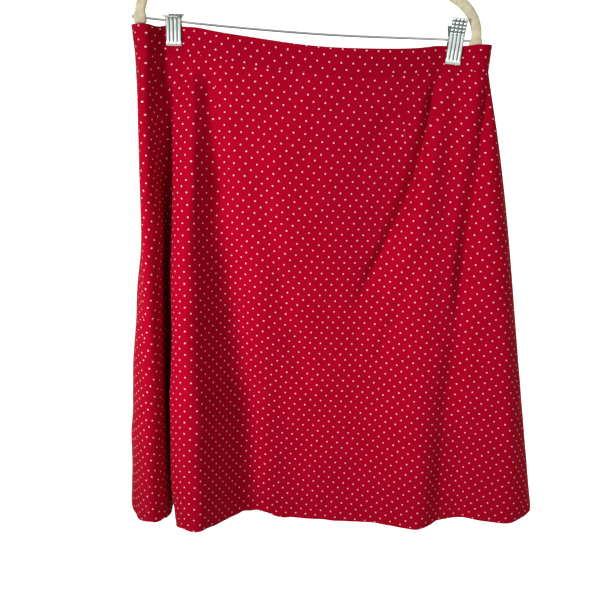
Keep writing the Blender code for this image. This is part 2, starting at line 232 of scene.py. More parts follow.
def tube(path, across, upward, wide, high, sides, boxy=1.0):
    """Points and faces of a closed tube along a path, whose first and last points are poles.

    A ring is path + across wide cos(turn) + upward high sin(turn), as a boxy circle.
    """
    level, rise = boxy_circle(np.linspace(0, 2 * np.pi, sides, endpoint=False), boxy)
    rings = (
        path[1:-1, None]
        + across[1:-1, None] * (np.asarray(wide)[1:-1, None] * level)[..., None]
        + upward[1:-1, None] * (np.asarray(high)[1:-1, None] * rise)[..., None]
    )
    points = np.concatenate([rings.reshape(-1, 3), path[:1], path[-1:]])
    number = np.arange(len(rings) * sides).reshape(len(rings), sides)
    walls = grid_quads(np.concatenate([number, number[:, :1]], axis=1)).tolist()
    start, end = number.size, number.size + 1
    after = np.roll(np.arange(sides), -1)
    head = np.stack([np.full(sides, start), number[0], number[0][after]], axis=1)
    foot = np.stack([np.full(sides, end), number[-1][after], number[-1]], axis=1)
    return points, outward(points, walls + head.tolist() + foot.tolist())


def tube_piece(name, *way, **ring):
    """A piece that is one tube, worked out upright and hung under the hook."""
    points, faces = tube(*way, **ring)
    return mesh_piece(name, hung(points), faces)


def joined(parts):
    """Points and faces of several closed shapes as one mesh."""
    points, faces, first = [], [], 0
    for part_points, part_faces in parts:
        points.append(part_points)
        faces += [[corner + first for corner in face] for face in part_faces]
        first += len(part_points)
    return np.concatenate(points), faces


print("a closed sheet of 5 by 7 points has", len(shell_faces(5, 7)), "faces")

# %% [markdown]
# ## Where the folds run
#
# A skirt held at two points hangs in long folds that start at the clips and open towards
# the hem. The table below names each fold line, front and then back, with its place at the
# waistband, at the dart points, at the thigh and at the hem: how far right of the skirt's
# middle, and how far out towards the viewer. These are the lines that the frame's cloth
# follows, so the fine cloth lies on it everywhere.
#
# Down a fold line the place follows a natural cubic curve through its four levels. Around
# the skirt, one closed cubic curve passes through all the lines at a given level. Both are
# solved as whole arrays, all rows at once.

# %% The fold table
HOOK_TO_WAIST = 208 * MM
SKIRT_OFF_CENTRE = 6 * MM
BAND_DEPTH = 29 * MM
SKIRT_LENGTH = 612 * MM
LEVELS = np.array([29, 130, 350, 612]) * MM
CHORD_POWER = 0.6  # how far the curve's speed follows the distance between fold lines
CLIP_CENTRES = (-161 * MM, 164 * MM)
PINCH_OUT = 1.5 * MM  # the middle of the cloth between a clip's jaws
PINCH_HALF = 11 * MM
PINCH_REACH = 27 * MM
PINCH_FADE = 120 * MM

HEM_POINTS = 900  # for measuring the hem all round

# edge: how far the fold's top lies below the waist edge's level. All in millimetres.
Fold = namedtuple(
    "Fold",
    "name edge waist_x waist_out dart_x dart_out thigh_x thigh_out hem_x hem_out",
)
FOLDS = (
    Fold("left_seam", -5, -201, 11, -197, 12, -182, 44, -165, 66),
    Fold("tube_crest", -5, -190, 19, -188, 30, -174, 48, -157, 62),
    Fold("tube_flank", -6, -176, 12, -174, 24, -166, 38, -150, 52),
    Fold("cleft_left", -8, -168, 5, -169, 6, -164.5, -8, -147.5, -26),
    Fold("cleft", -8, -161, 3, -164, -5, -160, -22, -143.5, -42),
    Fold("cleft_right", -8, -154, 4, -159, 3, -155.5, -8, -139.5, -26),
    Fold("ridge_flank", -8, -146, 5, -150, 13, -148, 38, -135, 56),
    Fold("ridge_crest", -7, -131, 8, -133, 20, -125, 53, -105, 85),
    Fold("dart_valley", -4, -110, 13, -114, 11, -80, 5, -48, 20),
    Fold("front_left", 0, -66, 18, -58, 20, -38, 6, -24, 17),
    Fold("centre_front", 4, -3, 21, -3, 22, -4, 8, -5, 17),
    Fold("front_right", 2, 62, 18, 64, 14, 62, 5, 84, 24),
    Fold("hollow", -5, 126, 8, 121, 6, 119, 6, 150, 34),
    Fold("right_ridge", -9, 146, 4, 149, 12, 167, 22, 194, 43),
    Fold("clip_valley", -10, 164, 3, 180, 10, 219, 19, 240, 20),
    Fold("hip_ridge", -12, 182, 10, 209, 19, 252, 25, 284, 41),
    Fold("right_loop", -13, 197, 12, 225, 14, 279, 16, 328, 36),
    Fold("right_seam", -14, 206, 0, 236, 0, 291, -3, 352, 4),
    Fold("right_loop_back", -13, 197, -12, 223, -16, 274, -24, 330, -34),
    Fold("back_hip", -12, 182, -11, 206, -20, 246, -30, 282, -56),
    Fold("back_clip_right", -10, 164, -3, 178, -12, 206, -22, 236, -40),
    Fold("back_right", -5, 120, -8, 124, -18, 140, -34, 170, -68),
    Fold("back_middle_right", 1, 60, -15, 62, -24, 70, -28, 92, -46),
    Fold("centre_back", 3, -3, -17, -2, -22, 2, -34, 6, -60),
    Fold("back_left", -1, -66, -14, -62, -24, -52, -30, -46, -44),
    Fold("back_ridge", -5, -130, -6, -122, -32, -106, -68, -96, -100),
    Fold("back_clip_left", -8, -161, -3, -160, -16, -154, -56, -146, -86),
    Fold("loop_back", -6, -186, -15, -186, -28, -193, -46, -190, -74),
    Fold("left_side", -5, -203, -2, -196, -8, -202, 4, -208, 0),
)
FOLD_NAMES = [fold.name for fold in FOLDS]
RIGHT_SEAM = FOLD_NAMES.index("right_seam")
CENTRE_FRONT = FOLD_NAMES.index("centre_front")
CENTRE_BACK = FOLD_NAMES.index("centre_back")


def cubic_piece(start, end, bend_start, bend_end, span, along):
    """The cubic between two knots, from its ends and its second derivatives there."""
    left = span - along
    curved = (bend_start * left**3 + bend_end * along**3) / (6 * span)
    straight = (start / span - bend_start * span / 6) * left
    return curved + straight + (end / span - bend_end * span / 6) * along


def natural_curve(knots, values, at):
    """Values at many places on the cubic curve through knots, straight at its ends."""
    gaps = np.diff(knots)
    flat = values.reshape(len(knots), -1)
    middle = np.arange(1, len(knots) - 1)
    system = np.eye(len(knots))
    system[middle, middle - 1] = gaps[:-1]
    system[middle, middle] = 2 * (gaps[:-1] + gaps[1:])
    system[middle, middle + 1] = gaps[1:]
    turns = np.zeros_like(flat)
    turns[1:-1] = 6 * np.diff(np.diff(flat, axis=0) / gaps[:, None], axis=0)
    bend = np.linalg.solve(system, turns)
    i = np.clip(np.searchsorted(knots, at, side="right") - 1, 0, len(knots) - 2)
    along = (at - knots[i])[:, None]
    made = cubic_piece(flat[i], flat[i + 1], bend[i], bend[i + 1], gaps[i][:, None], along)
    return made.reshape(len(at), *values.shape[1:])


class ClosedCurves:
    """One closed cubic curve for each row of points (rows, folds, values).

    The knots of a row lie apart by the distance between its fold lines to CHORD_POWER.
    """

    def __init__(self, points):
        self.points = points
        self.count = points.shape[1]
        after = np.roll(points, -1, axis=1)
        self.gaps = np.linalg.norm((after - points)[..., :2], axis=2) ** CHORD_POWER
        before = np.roll(self.gaps, 1, axis=1)
        rise = (after - points) / self.gaps[..., None]
        i = np.arange(self.count)
        system = np.zeros((len(points), self.count, self.count))
        system[:, i, i - 1] = before
        system[:, i, i] = 2 * (before + self.gaps)
        system[:, i, (i + 1) % self.count] = self.gaps
        self.bend = np.linalg.solve(system, 6 * (rise - np.roll(rise, 1, axis=1)))

    def at(self, t):
        """Points at t (rows, columns), where fold line number n lies at t = n."""
        row = np.arange(len(self.points))[:, None]
        first = np.floor(t).astype(int) % self.count
        second = (first + 1) % self.count
        gap = self.gaps[row, first][..., None]
        ends = self.points[row, first], self.points[row, second]
        bends = self.bend[row, first], self.bend[row, second]
        return cubic_piece(*ends, *bends, gap, (t - np.floor(t))[..., None] * gap)


def cloth_curves(distances):
    """The closed curves (x, out, edge) of the cloth at these distances below its edge."""
    table = np.array([fold[1:] for fold in FOLDS]) * MM
    places = table[:, 1:].reshape(len(FOLDS), 4, 2).transpose(1, 0, 2)
    level = natural_curve(LEVELS, places, np.maximum(distances, BAND_DEPTH))
    edge = np.broadcast_to(table[None, :, :1], (*level.shape[:2], 1))
    return ClosedCurves(np.concatenate([level, edge], axis=2))


def pinched(plan, distances):
    """The same places, pressed flat between the clips' jaws near the waistband."""
    x, out = plan[..., 0], plan[..., 1].copy()
    grip = (1 - smooth_step(BAND_DEPTH, PINCH_FADE, distances))[:, None]
    for centre in CLIP_CENTRES:
        near = grip * (1 - smooth_step(PINCH_HALF, PINCH_REACH, abs(x - centre)))
        out += near * (np.sign(out) * PINCH_OUT - out)
    return np.stack([x, out, plan[..., 2]], axis=-1)


hem_curve = cloth_curves(np.array([SKIRT_LENGTH])).at(np.linspace(0, len(FOLDS), HEM_POINTS)[None])
hem_round = length_along(hem_curve[0, :, :2])[-1]
print("fold lines:", len(FOLDS), " hem all round in mm:", round(hem_round / MM))

# %% [markdown]
# ## Rows, columns and the cloth's own length
#
# Woven cloth hardly stretches, so the rows are spaced along the cloth and not by height:
# the drop from one row to the next is what is left of their distance after the step
# sideways, the root of step^2 - sideways^2. That makes the hem rise where a fold leans out.
#
# The front has two darts, sewn folds that take width out of the waist. A column of the
# mesh follows each dart, and more columns lie close beside it, so that the dart can be a
# real fine crease with its own jump in the pattern.
#
# A hem is never quite level, so a short table lets it down or takes it up in a few places.

# %% Walls, darts and the hem
BAND_WALL = 1.4 * MM
PANEL_WALL = 1.2 * MM
SEAM_GAP = 0.03 * MM
SEAM_CRISP = 0.16  # a seam's edge is rounder than sharp, but tighter than a folded edge
TURN_UP = 32 * MM  # the hem allowance folded up inside

# Each dart: the fold line that it lies by, its place at the waistband and at its point, both
# from the skirt's middle, and the width that it takes out of the waist.
Dart = namedtuple("Dart", "by_fold top_x point_x point_drop intake")
DARTS = (
    Dart("dart_valley", -113, -105, 128, 18),
    Dart("hollow", 110, 117, 118, 18),
)
DART_COLUMN_LEVEL = 80 * MM  # the column that follows a dart is the nearest at this depth
DART_FOLLOWED = 260 * MM  # and it leaves the dart's line by this one
DART_SEARCH = 1.4  # folds to each side of the dart's own
DART_PULL = 30  # columns to each side that move along with the dart's
CORNER_FLARE = 4 * MM  # the waist edge's left corner leans out by this much
FLARE_FROM = -178 * MM
FLARE_TO = -204 * MM
EDGE_STEPS = np.array([0, 0.08, 0.3, 0.75, 1.3])  # in half walls, for the round edges
THIGH = LEVELS[2]
BY_FOLD = 0.35  # the rest of the columns' spread goes by arc length
CLOSE_BY_DART = 0.035  # share of the columns that crowd by a dart
CLOSE_REACH = 0.1  # and how near, in folds
DART_COLUMNS_AT = (8.0, 12.2)  # where they crowd, as fold numbers
SPREAD_POINTS = 1200  # for measuring how the columns spread
CROSSING_POINTS = 241  # for finding where a row crosses a dart

# Places where the hem is let down or taken up: the fold number at the middle, the reach to
# each side in folds, and how far the hem goes down there.
HemEase = namedtuple("HemEase", "fold reach drop")
HEM_EASES = (
    HemEase(28.45, 0.55, 9),
    HemEase(2.35, 0.6, 9),
    HemEase(6.0, 0.7, 9),
    HemEase(7.95, 0.8, 7),
    HemEase(8.4, 0.5, 3),
    HemEase(9.6, 0.8, -4.5),
    HemEase(12.5, 2.0, 4),
    HemEase(13.9, 0.5, 3),
)
print("darts:", len(DARTS), " places where the hem is eased:", len(HEM_EASES))

# %% [markdown]
# ## The two sides as grids of points
#
# The functions below space the rows and the columns, bend the columns along the darts and
# put every point in its place. The front and the back are made by the same few calls.

# %% Cloth grids
def spaced_rows(top, bottom, count, half, crisp):
    """Even distances down the cloth, with a few close rows at each end for the edge.

    crisp says for the top and the bottom how much tighter than half a wall the edge is.
    """
    even = np.linspace(top, bottom, count)[1:-1]
    ends = [top + EDGE_STEPS * half * crisp[0], bottom - EDGE_STEPS * half * crisp[1]]
    return np.unique(np.concatenate([even, *ends]).round(7))


def spaced_columns(first, last, count, middle, dart_places=()):
    """Parameters from fold line first to last, spread by arc length and by fold count.

    The spread is measured at the thigh. Round each dart a steep S adds close columns, and
    the column nearest the panel's middle is set right on it.
    """
    fine = np.linspace(first, last, SPREAD_POINTS)
    arc = length_along(cloth_curves(np.array([THIGH])).at(fine[None])[0, :, :2])
    spread = (1 - BY_FOLD) * arc / arc[-1] + BY_FOLD * (fine - first) / (last - first)
    for place in dart_places:
        spread = spread + CLOSE_BY_DART * np.tanh((fine - place) / CLOSE_REACH)
    spread = (spread - spread[0]) / (spread[-1] - spread[0])
    t = np.interp(np.linspace(0, 1, count), spread, fine)
    t[np.argmin(abs(t - middle))] = middle
    return t


def dart_path(dart, distances):
    """The dart's place across, from the middle: straight from its top to its point."""
    part = (distances - BAND_DEPTH) / (dart.point_drop * MM - BAND_DEPTH)
    return (dart.top_x + (dart.point_x - dart.top_x) * part) * MM


def crossing(curves, path, first, last):
    """For each row, the parameter between two fold lines where x reaches path."""
    fine = np.linspace(first, last, CROSSING_POINTS)
    x = curves.at(np.broadcast_to(fine, (len(path), len(fine))))[..., 0]
    after = np.clip((x < path[:, None]).sum(axis=1), 1, len(fine) - 1)
    row = np.arange(len(path))
    before = x[row, after - 1]
    part = (path - before) / (x[row, after] - before)
    return fine[after - 1] + np.clip(part, 0, 1) * (fine[1] - fine[0])


def follow_darts(t, curves, distances):
    """Columns bent so that one lies on each dart, and the numbers of those columns."""
    bent = np.broadcast_to(t, (len(distances), len(t))).copy()
    numbers = []
    held = 1 - smooth_step(LEVELS[1], DART_FOLLOWED, distances)
    for dart in DARTS:
        fold, path = FOLD_NAMES.index(dart.by_fold), dart_path(dart, distances)
        wanted = crossing(curves, path, fold - DART_SEARCH, fold + DART_SEARCH)
        number = int(np.argmin(abs(t - np.interp(DART_COLUMN_LEVEL, distances, wanted))))
        near = 1 - smooth_step(0, DART_PULL, abs(np.arange(len(t)) - number))
        bent += (wanted - t[number])[:, None] * held[:, None] * near
        numbers.append(number)
    return bent, numbers


def hem_ease(t):
    """Sum of drop (1 + cos(pi apart / reach)) / 2, apart being the folds from the middle."""
    total = np.zeros_like(t, dtype=float)
    for ease in HEM_EASES:
        apart = (t - ease.fold + len(FOLDS) / 2) % len(FOLDS) - len(FOLDS) / 2
        near = np.clip(apart / ease.reach, -1, 1)
        total += ease.drop * MM * (1 + np.cos(np.pi * near)) / 2
    return total


def cloth_surface(distances, t):
    """Upright points (x, y, z) of the cloth's middle surface, rows down and columns across."""
    plan = pinched(cloth_curves(distances).at(t), distances)
    rise = np.clip(1 - distances / BAND_DEPTH, 0, 1)[:, None]
    plan[..., 0] -= CORNER_FLARE * rise * smooth_step(FLARE_FROM, FLARE_TO, plan[..., 0])
    sideways = (np.diff(plan[..., :2], axis=0) ** 2).sum(axis=2)
    step = np.diff(distances)[:, None]
    drops = np.sqrt(np.maximum(step**2 - sideways, 0))
    top = -plan[:1, :, 2] - distances[0]
    height = np.concatenate([top, top - np.cumsum(drops, axis=0)])
    height -= hem_ease(t) * smooth_step(THIGH, SKIRT_LENGTH, distances)[:, None]
    return np.stack([plan[..., 0] + SKIRT_OFF_CENTRE, -plan[..., 1], height - HOOK_TO_WAIST], -1)


def with_side_edges(surface, half):
    """Columns for the round side edges, between each seam line and the column beside it."""

    def edge(seam, beside):
        across = beside - seam
        length = np.linalg.norm(across, axis=-1)[:, None]
        away = (SEAM_GAP / 2 + EDGE_STEPS * half * SEAM_CRISP)[None, :, None]
        return seam[:, None] + (across / length)[:, None] * away

    left = edge(surface[:, 0], surface[:, 1])
    right = edge(surface[:, -1], surface[:, -2])[:, ::-1]
    return np.concatenate([left, surface[:, 1:-1], right], axis=1)


def side_distance(surface):
    """Distance of every point from the nearer side seam."""
    across = length_along(surface)
    return np.minimum(across, across[:, -1:] - across)


FRONT_COLUMNS = 268
BACK_COLUMNS = 236
PANEL_ROWS = 168
BAND_ROWS = 12
PANEL_CRISP = (SEAM_CRISP, 1)  # a seam above, a folded hem below
BAND_CRISP = (1, SEAM_CRISP)  # a folded edge above, a seam below
panel_rows = spaced_rows(
    BAND_DEPTH + SEAM_GAP / 2, SKIRT_LENGTH, PANEL_ROWS, PANEL_WALL / 2, PANEL_CRISP
)
band_rows = spaced_rows(0, BAND_DEPTH - SEAM_GAP / 2, BAND_ROWS, BAND_WALL / 2, BAND_CRISP)
front_t = spaced_columns(0, RIGHT_SEAM, FRONT_COLUMNS, CENTRE_FRONT, DART_COLUMNS_AT)
back_t = spaced_columns(RIGHT_SEAM, len(FOLDS), BACK_COLUMNS, CENTRE_BACK)
front_bent, dart_columns = follow_darts(front_t, cloth_curves(panel_rows), panel_rows)
back_straight = np.broadcast_to(back_t, (len(panel_rows), len(back_t)))
front_cloth, back_cloth = (
    with_side_edges(cloth_surface(panel_rows, t), PANEL_WALL / 2)
    for t in (front_bent, back_straight)
)
dart_columns = [number + len(EDGE_STEPS) - 1 for number in dart_columns]

# %% [markdown]
# ## Creases placed one by one
#
# Between the main folds the cloth has lesser ones: drag lines that run down from a clip, a
# soft ridge below each dart, small dents where the cloth was folded in storage. Each is a
# short soft line laid on the skirt by its own sizes, in millimetres right of the middle
# and below the waist edge. Its depth is a bell curve across the line and fades at both
# ends, and the cloth moves along its own outward direction, in for a trough and out for a
# ridge. The back gets creases of the same kind, no two alike.

# %% The crease tables
Crease = namedtuple("Crease", "name start bend end half depth")
FRONT_CREASES = (
    Crease("flank_top", (-125, 10), (-110, 100), (-93, 230), 11, -9.5),
    Crease("flank_edge", (-138, 20), (-133, 110), (-128, 220), 5, 2.2),
    Crease("flank_low", (-66, 400), (-56, 500), (-46, 640), 18, -3.0),
    Crease("flank_foot", (-112, 400), (-105, 500), (-100, 630), 7, 2.0),
    Crease("cleft_top", (-178, 10), (-173, 100), (-168, 230), 8, -4.5),
    Crease("ridge_left_side", (-146, 400), (-141, 500), (-136, 610), 9, 3.6),
    Crease("ridge_below_left_dart", (-106, 40), (-66, 230), (-20, 420), 17, 4.2),
    Crease("ridge_low", (-72, 270), (-36, 450), (6, 700), 22, 7.0),
    Crease("trough_inside_it", (-64, 80), (-20, 280), (36, 470), 12, -2.4),
    Crease("right_clip_drag", (146, -50), (133, 140), (69, 330), 8, -10.0),
    Crease("drag_deep", (148, 20), (138, 108), (118, 210), 6, -3.2),
    Crease("ridge_outside_drag", (160, 40), (139, 225), (80, 430), 11, 3.0),
    Crease("dent_by_right_dart", (110, 60), (80, 108), (67, 160), 5, -1.1),
    Crease("second_dent", (94, 56), (84, 82), (73, 106), 4, -0.8),
    Crease("thigh_dash", (62, 258), (46, 296), (31, 335), 6, -0.9),
    Crease("lower_dash", (92, 335), (66, 370), (43, 398), 7, -1.0),
    Crease("trough_right_of_drag", (165, 205), (143, 272), (108, 400), 7, -1.6),
    Crease("long_drag_tail", (108, 398), (90, 430), (58, 466), 8, -1.0),
    Crease("clip_trough_top", (214, -20), (206, 150), (211, 340), 9, -10.5),
    Crease("clip_ridge_top", (191, 0), (189, 150), (196, 340), 9, 3.0),
    Crease("clip_trough_low", (212, 290), (211, 450), (226, 690), 12, -4.8),
    Crease("right_of_valley", (222, 270), (240, 440), (274, 690), 10, 2.6),
    Crease("side_roll", (203, 30), (267, 310), (324, 610), 11, 3.5),
    Crease("hem_ridge", (176, 440), (186, 520), (196, 640), 12, 2.2),
    Crease("loop_shade", (270, 400), (281, 510), (296, 650), 10, -2.4),
    Crease("ripple_under_band", (0, 47), (26, 44), (56, 44), 5, -0.8),
    Crease("dent_at_thigh", (18, 402), (28, 426), (39, 450), 5, -1.3),
    Crease("dent_at_hip", (-8, 106), (0, 124), (7, 140), 4, -0.7),
    Crease("tube_ridge", (-190, 250), (-192, 370), (-190, 500), 9, 1.4),
    Crease("ridge_wave", (-128, 300), (-118, 400), (-112, 520), 12, 1.4),
    Crease("hem_dip_middle", (40, 520), (44, 560), (52, 606), 15, 1.2),
)
# These two run on from the waistband into the front, beside the left clip.
CROSSING_CREASES = (
    Crease("ridge_at_left_end", (-190, -40), (-190, 30), (-187, 120), 8, 3.0),
    Crease("trough_beside_clip", (-179, -40), (-176, 30), (-168, 110), 5, -2.2),
)
BACK_CREASES = (
    Crease("drag_from_left_clip", (-138, 52), (-118, 190), (-86, 380), 9, 3.0),
    Crease("drag_from_right_clip", (142, 50), (118, 170), (70, 330), 8, 3.2),
    Crease("long_soft_trough", (-40, 90), (-20, 260), (10, 470), 14, 2.6),
    Crease("long_soft_ridge", (30, 70), (36, 260), (20, 500), 16, -2.4),
    Crease("hip_dent", (-90, 100), (-76, 140), (-70, 176), 5, 1.0),
    Crease("middle_dash", (8, 214), (18, 250), (34, 282), 6, 0.9),
    Crease("thigh_dash", (-60, 330), (-42, 362), (-28, 402), 7, 1.1),
    Crease("right_trough", (196, 120), (214, 280), (232, 470), 11, 2.4),
    Crease("right_ridge", (160, 200), (176, 340), (200, 540), 12, -2.2),
    Crease("left_trough", (-172, 180), (-176, 320), (-168, 500), 11, 2.2),
    Crease("hem_dip", (96, 470), (104, 540), (118, 604), 15, 1.9),
    Crease("hem_lift", (-110, 480), (-104, 550), (-98, 606), 15, -1.7),
)
CREASE_FADE = 0.25  # the share of a crease's line over which it fades at each end
CREASE_STEPS = 64


def crease_depth(surface, creases):
    """How far the creases move each point: the sum of depth times exp(-(d / half)^2).

    d is the distance to the crease's line, a parabola through its start, bend and end, and
    an S near each end of the line makes it fade.
    """
    flat = np.stack([surface[..., 0] - SKIRT_OFF_CENTRE, -surface[..., 2] - HOOK_TO_WAIST], -1)
    part = np.linspace(0, 1, CREASE_STEPS + 1)[:, None]
    depth = np.zeros(surface.shape[:2])
    for crease in creases:
        line = MM * (
            (1 - part) * (1 - 2 * part) * crease.start
            + 4 * part * (1 - part) * crease.bend
            + part * (2 * part - 1) * crease.end
        )
        apart = ((flat[:, :, None] - line) ** 2).sum(axis=-1)
        nearest = apart.argmin(axis=-1)
        along = part[nearest, 0]
        fade = smooth_step(0, CREASE_FADE, along) * (1 - smooth_step(1 - CREASE_FADE, 1, along))
        bell = np.exp(-apart.min(axis=-1) / (crease.half * MM) ** 2)
        depth += crease.depth * MM * bell * fade
    return depth


# %% [markdown]
# ## Small waves, darts and puckers
#
# Three more movements make it cloth. Slow uneven waves, a sum of a few sines of unlike
# lengths, break up surfaces that would be too perfect. Next to a sewn line the stitches
# draw the cloth in, so it puckers there in short waves that die away within a finger's
# width. And each dart is a narrow groove that fades out at its point.

# %% Waves, puckers and darts
# A wave's lengths across and down the cloth and its height are in millimetres.
Wave = namedtuple("Wave", "across down phase height")
SLOW_WAVES = (
    Wave(74, 410, 0.4, 0.34),
    Wave(47, 260, 2.1, 0.17),
    Wave(118, 180, 4.0, 0.30),
    Wave(31, 150, 5.2, 0.07),
    Wave(58, 96, 1.3, 0.09),
)
PUCKERS = (Wave(11.5, 60, 0.3, 0.16), Wave(17.0, 45, 1.9, 0.20), Wave(7.9, 80, 4.4, 0.09))
PUCKER_REACH = 16 * MM
PUCKER_IN_BAND = 0.4  # the stiff waistband puckers over this share of that reach
BACK_SHIFT = 0.37  # metres that the back's waves are shifted by, so no two sides are alike
HELD_BY_SIDE = 16 * MM  # a crease dies away this near a side seam
HELD_BY_BAND = 34 * MM  # and this far below the waistband's seam
HEM_WAVES = (Wave(36, 900, 0.8, 0.5), Wave(23, 700, 2.6, 0.3))
HEM_WAVE_REACH = 40 * MM
DART_GROOVE = 0.35 * MM
DART_HALF = 1.6 * MM
DART_SWELL = 0.9 * MM
DART_SWELL_HALF = 8 * MM
# The groove fades from here to just past the dart's point. The swell grows, then fades
# between the next two. All three are parts of the way down to the point.
GROOVE_FADES = 0.75
SWELL_FULL = 0.6
SWELL_FADES = (0.8, 1.5)


def waves(across, down, table):
    """Sum of height sin(2 pi (across / a + down / d) + phase), lengths in millimetres."""
    total = np.zeros_like(across)
    for wave in table:
        turns = across / (wave.across * MM) + down / (wave.down * MM)
        total += wave.height * MM * np.sin(2 * np.pi * turns + wave.phase)
    return total


def cloth_places(surface, distances):
    """How far across and how far down the cloth each point lies."""
    across = length_along(surface)
    return across, np.broadcast_to(distances[:, None], across.shape)


def small_depth(surface, distances, shift):
    """Slow waves all over and a faint wave along the hem."""
    across, down = cloth_places(surface, distances)
    across = across + shift
    hem = smooth_step(SKIRT_LENGTH - HEM_WAVE_REACH, SKIRT_LENGTH, down)
    return waves(across, down, SLOW_WAVES) + hem * waves(across, down, HEM_WAVES)


def off_the_sides(surface):
    """0 on the side seams and 1 away from them."""
    return smooth_step(0, HELD_BY_SIDE, side_distance(surface))


def seam_depth(surface, distances, shift):
    """Puckers that die away above and below the waistband's seam."""
    across, down = cloth_places(surface, distances)
    reach = np.where(down > BAND_DEPTH, 1, PUCKER_IN_BAND) * PUCKER_REACH
    fade = off_the_sides(surface) * np.exp(-abs(down - BAND_DEPTH) / reach)
    return fade * waves(across + shift, down, PUCKERS)


def dart_depth(surface, distances):
    """A groove along each dart and a faint swell about it, both fading at its point."""
    across = length_along(surface)
    total = np.zeros_like(across)
    for dart, column in zip(DARTS, dart_columns):
        apart = across - across[:, column : column + 1]
        end = dart.point_drop * MM
        held = 1 - smooth_step(GROOVE_FADES * end, end + DART_SWELL_HALF, distances)
        swell = 1 - smooth_step(SWELL_FADES[0] * end, SWELL_FADES[1] * end, distances)
        swell = swell * smooth_step(BAND_DEPTH, SWELL_FULL * end, distances)
        total -= DART_GROOVE * held[:, None] * np.exp(-((apart / DART_HALF) ** 2))
        total += DART_SWELL * swell[:, None] * np.exp(-((apart / DART_SWELL_HALF) ** 2))
    return total


def crossing_depth(surface):
    """Creases that cross the waistband's seam, so the band and the front move alike."""
    return off_the_sides(surface) * crease_depth(surface, CROSSING_CREASES)


def held_by_seams(surface, distances):
    """0 on the side seams and the waistband's seam, and 1 away from them."""
    off_the_band = smooth_step(BAND_DEPTH, BAND_DEPTH + HELD_BY_BAND, distances)
    return off_the_sides(surface) * off_the_band[:, None]


def moved_out(surface, depth):
    """The surface moved by these depths along its own outward directions."""
    return surface + normals_of(surface) * depth[..., None]


front_depth = crease_depth(front_cloth, FRONT_CREASES) + dart_depth(front_cloth, panel_rows)
front_depth += small_depth(front_cloth, panel_rows, 0)
front_depth = front_depth * held_by_seams(front_cloth, panel_rows)
front_depth += seam_depth(front_cloth, panel_rows, 0) + crossing_depth(front_cloth)
back_depth = small_depth(back_cloth, panel_rows, BACK_SHIFT)
back_depth -= crease_depth(back_cloth, BACK_CREASES)
back_depth = back_depth * held_by_seams(back_cloth, panel_rows)
back_depth += seam_depth(back_cloth, panel_rows, BACK_SHIFT)
front_shape = moved_out(front_cloth, front_depth)
back_shape = moved_out(back_cloth, back_depth)
print("front cloth moves from", round(front_depth.min() / MM, 1), "to",
      round(front_depth.max() / MM, 1), "mm")

# %% [markdown]
# ## The grain of the cloth
#
# The dots are woven on a straight grain, but an A-line panel is cut as part of a ring: its
# waist and hem are arcs. So the pattern's map is worked out on the flat cut. A point at arc
# length s from the panel's middle and at depth v lies on a circle of radius R + v, at the
# angle s / (R + v), where R is the ring's radius at the waist seam. Its place on the cloth
# is (R + v) sin of that angle, and (R + v) cos of it less R. Beyond a dart, s also holds
# the width that the dart hides, so the dots meet unevenly there, as they do on the skirt.

# %% Grain maps
GRAIN_RADIUS = 873 * MM


def flat_places(surface, distances, middle):
    """At every face corner: the way across from the middle column, and the way down."""
    across, down = cloth_places(surface, distances)
    return at_corners(across - across[:, middle : middle + 1]), at_corners(down)


def grain_map(surface, distances, middle, dart_turns=()):
    """Cloth coordinates in metres at every face corner of a panel's shell."""
    s, down = flat_places(surface, distances - BAND_DEPTH, middle)
    column = np.arange(s.shape[1])[None, :, None]
    for dart, place in dart_turns:
        depth = dart.point_drop * MM - BAND_DEPTH
        hidden = dart.intake * MM * np.clip(1 - down / depth, 0, 1)
        beyond = column >= place if dart.top_x > 0 else column < place
        s = s + np.sign(dart.top_x) * hidden * beyond
    ring = GRAIN_RADIUS + down
    flat = np.stack([ring * np.sin(s / ring), ring * np.cos(s / ring) - GRAIN_RADIUS], -1)
    return flat.reshape(-1, 4, 2)


def both_faces(corner_uv):
    """The same map for the outer faces and, with corners turned round, the inner ones."""
    return np.concatenate([corner_uv, corner_uv[:, ::-1]])


def column_at(t, parameters):
    """The column number of parameter t, counting the extra edge columns."""
    return int(np.argmin(abs(parameters - t))) + len(EDGE_STEPS) - 1


front_middle = column_at(CENTRE_FRONT, front_t)
back_middle = column_at(CENTRE_BACK, back_t)
front_uv = grain_map(front_cloth, panel_rows, front_middle, list(zip(DARTS, dart_columns)))
back_uv = grain_map(back_cloth, panel_rows, back_middle)
print("front map spans in mm:", (np.ptp(front_uv.reshape(-1, 2), axis=0) / MM).round(1))

# %% [markdown]
# ## Panels and waistband
#
# Each panel is its shaped surface with a wall of 1.2 mm. At the hem the cloth is folded up
# inside, so the inner wall steps in by one more layer for the depth of the turn-up. The
# waistband is four layers with an interfacing, thicker and flatter than the panels, and
# its top is a pressed fold with a round edge.

# %% Cloth pieces
TURN_UP_STEP = 0.7 * MM
TURN_UP_EASE = 1.5 * MM


def edge_distance(surface, distances, crisp):
    """Distance of every point from the nearest edge of its piece, along the cloth.

    It is divided by how tight that edge is, so a seam's edge is round over less depth.
    """
    side = side_distance(surface) / SEAM_CRISP
    top = (distances - distances[0]) / crisp[0]
    bottom = (distances[-1] - distances) / crisp[1]
    return np.minimum(side, np.minimum(top, bottom)[:, None])


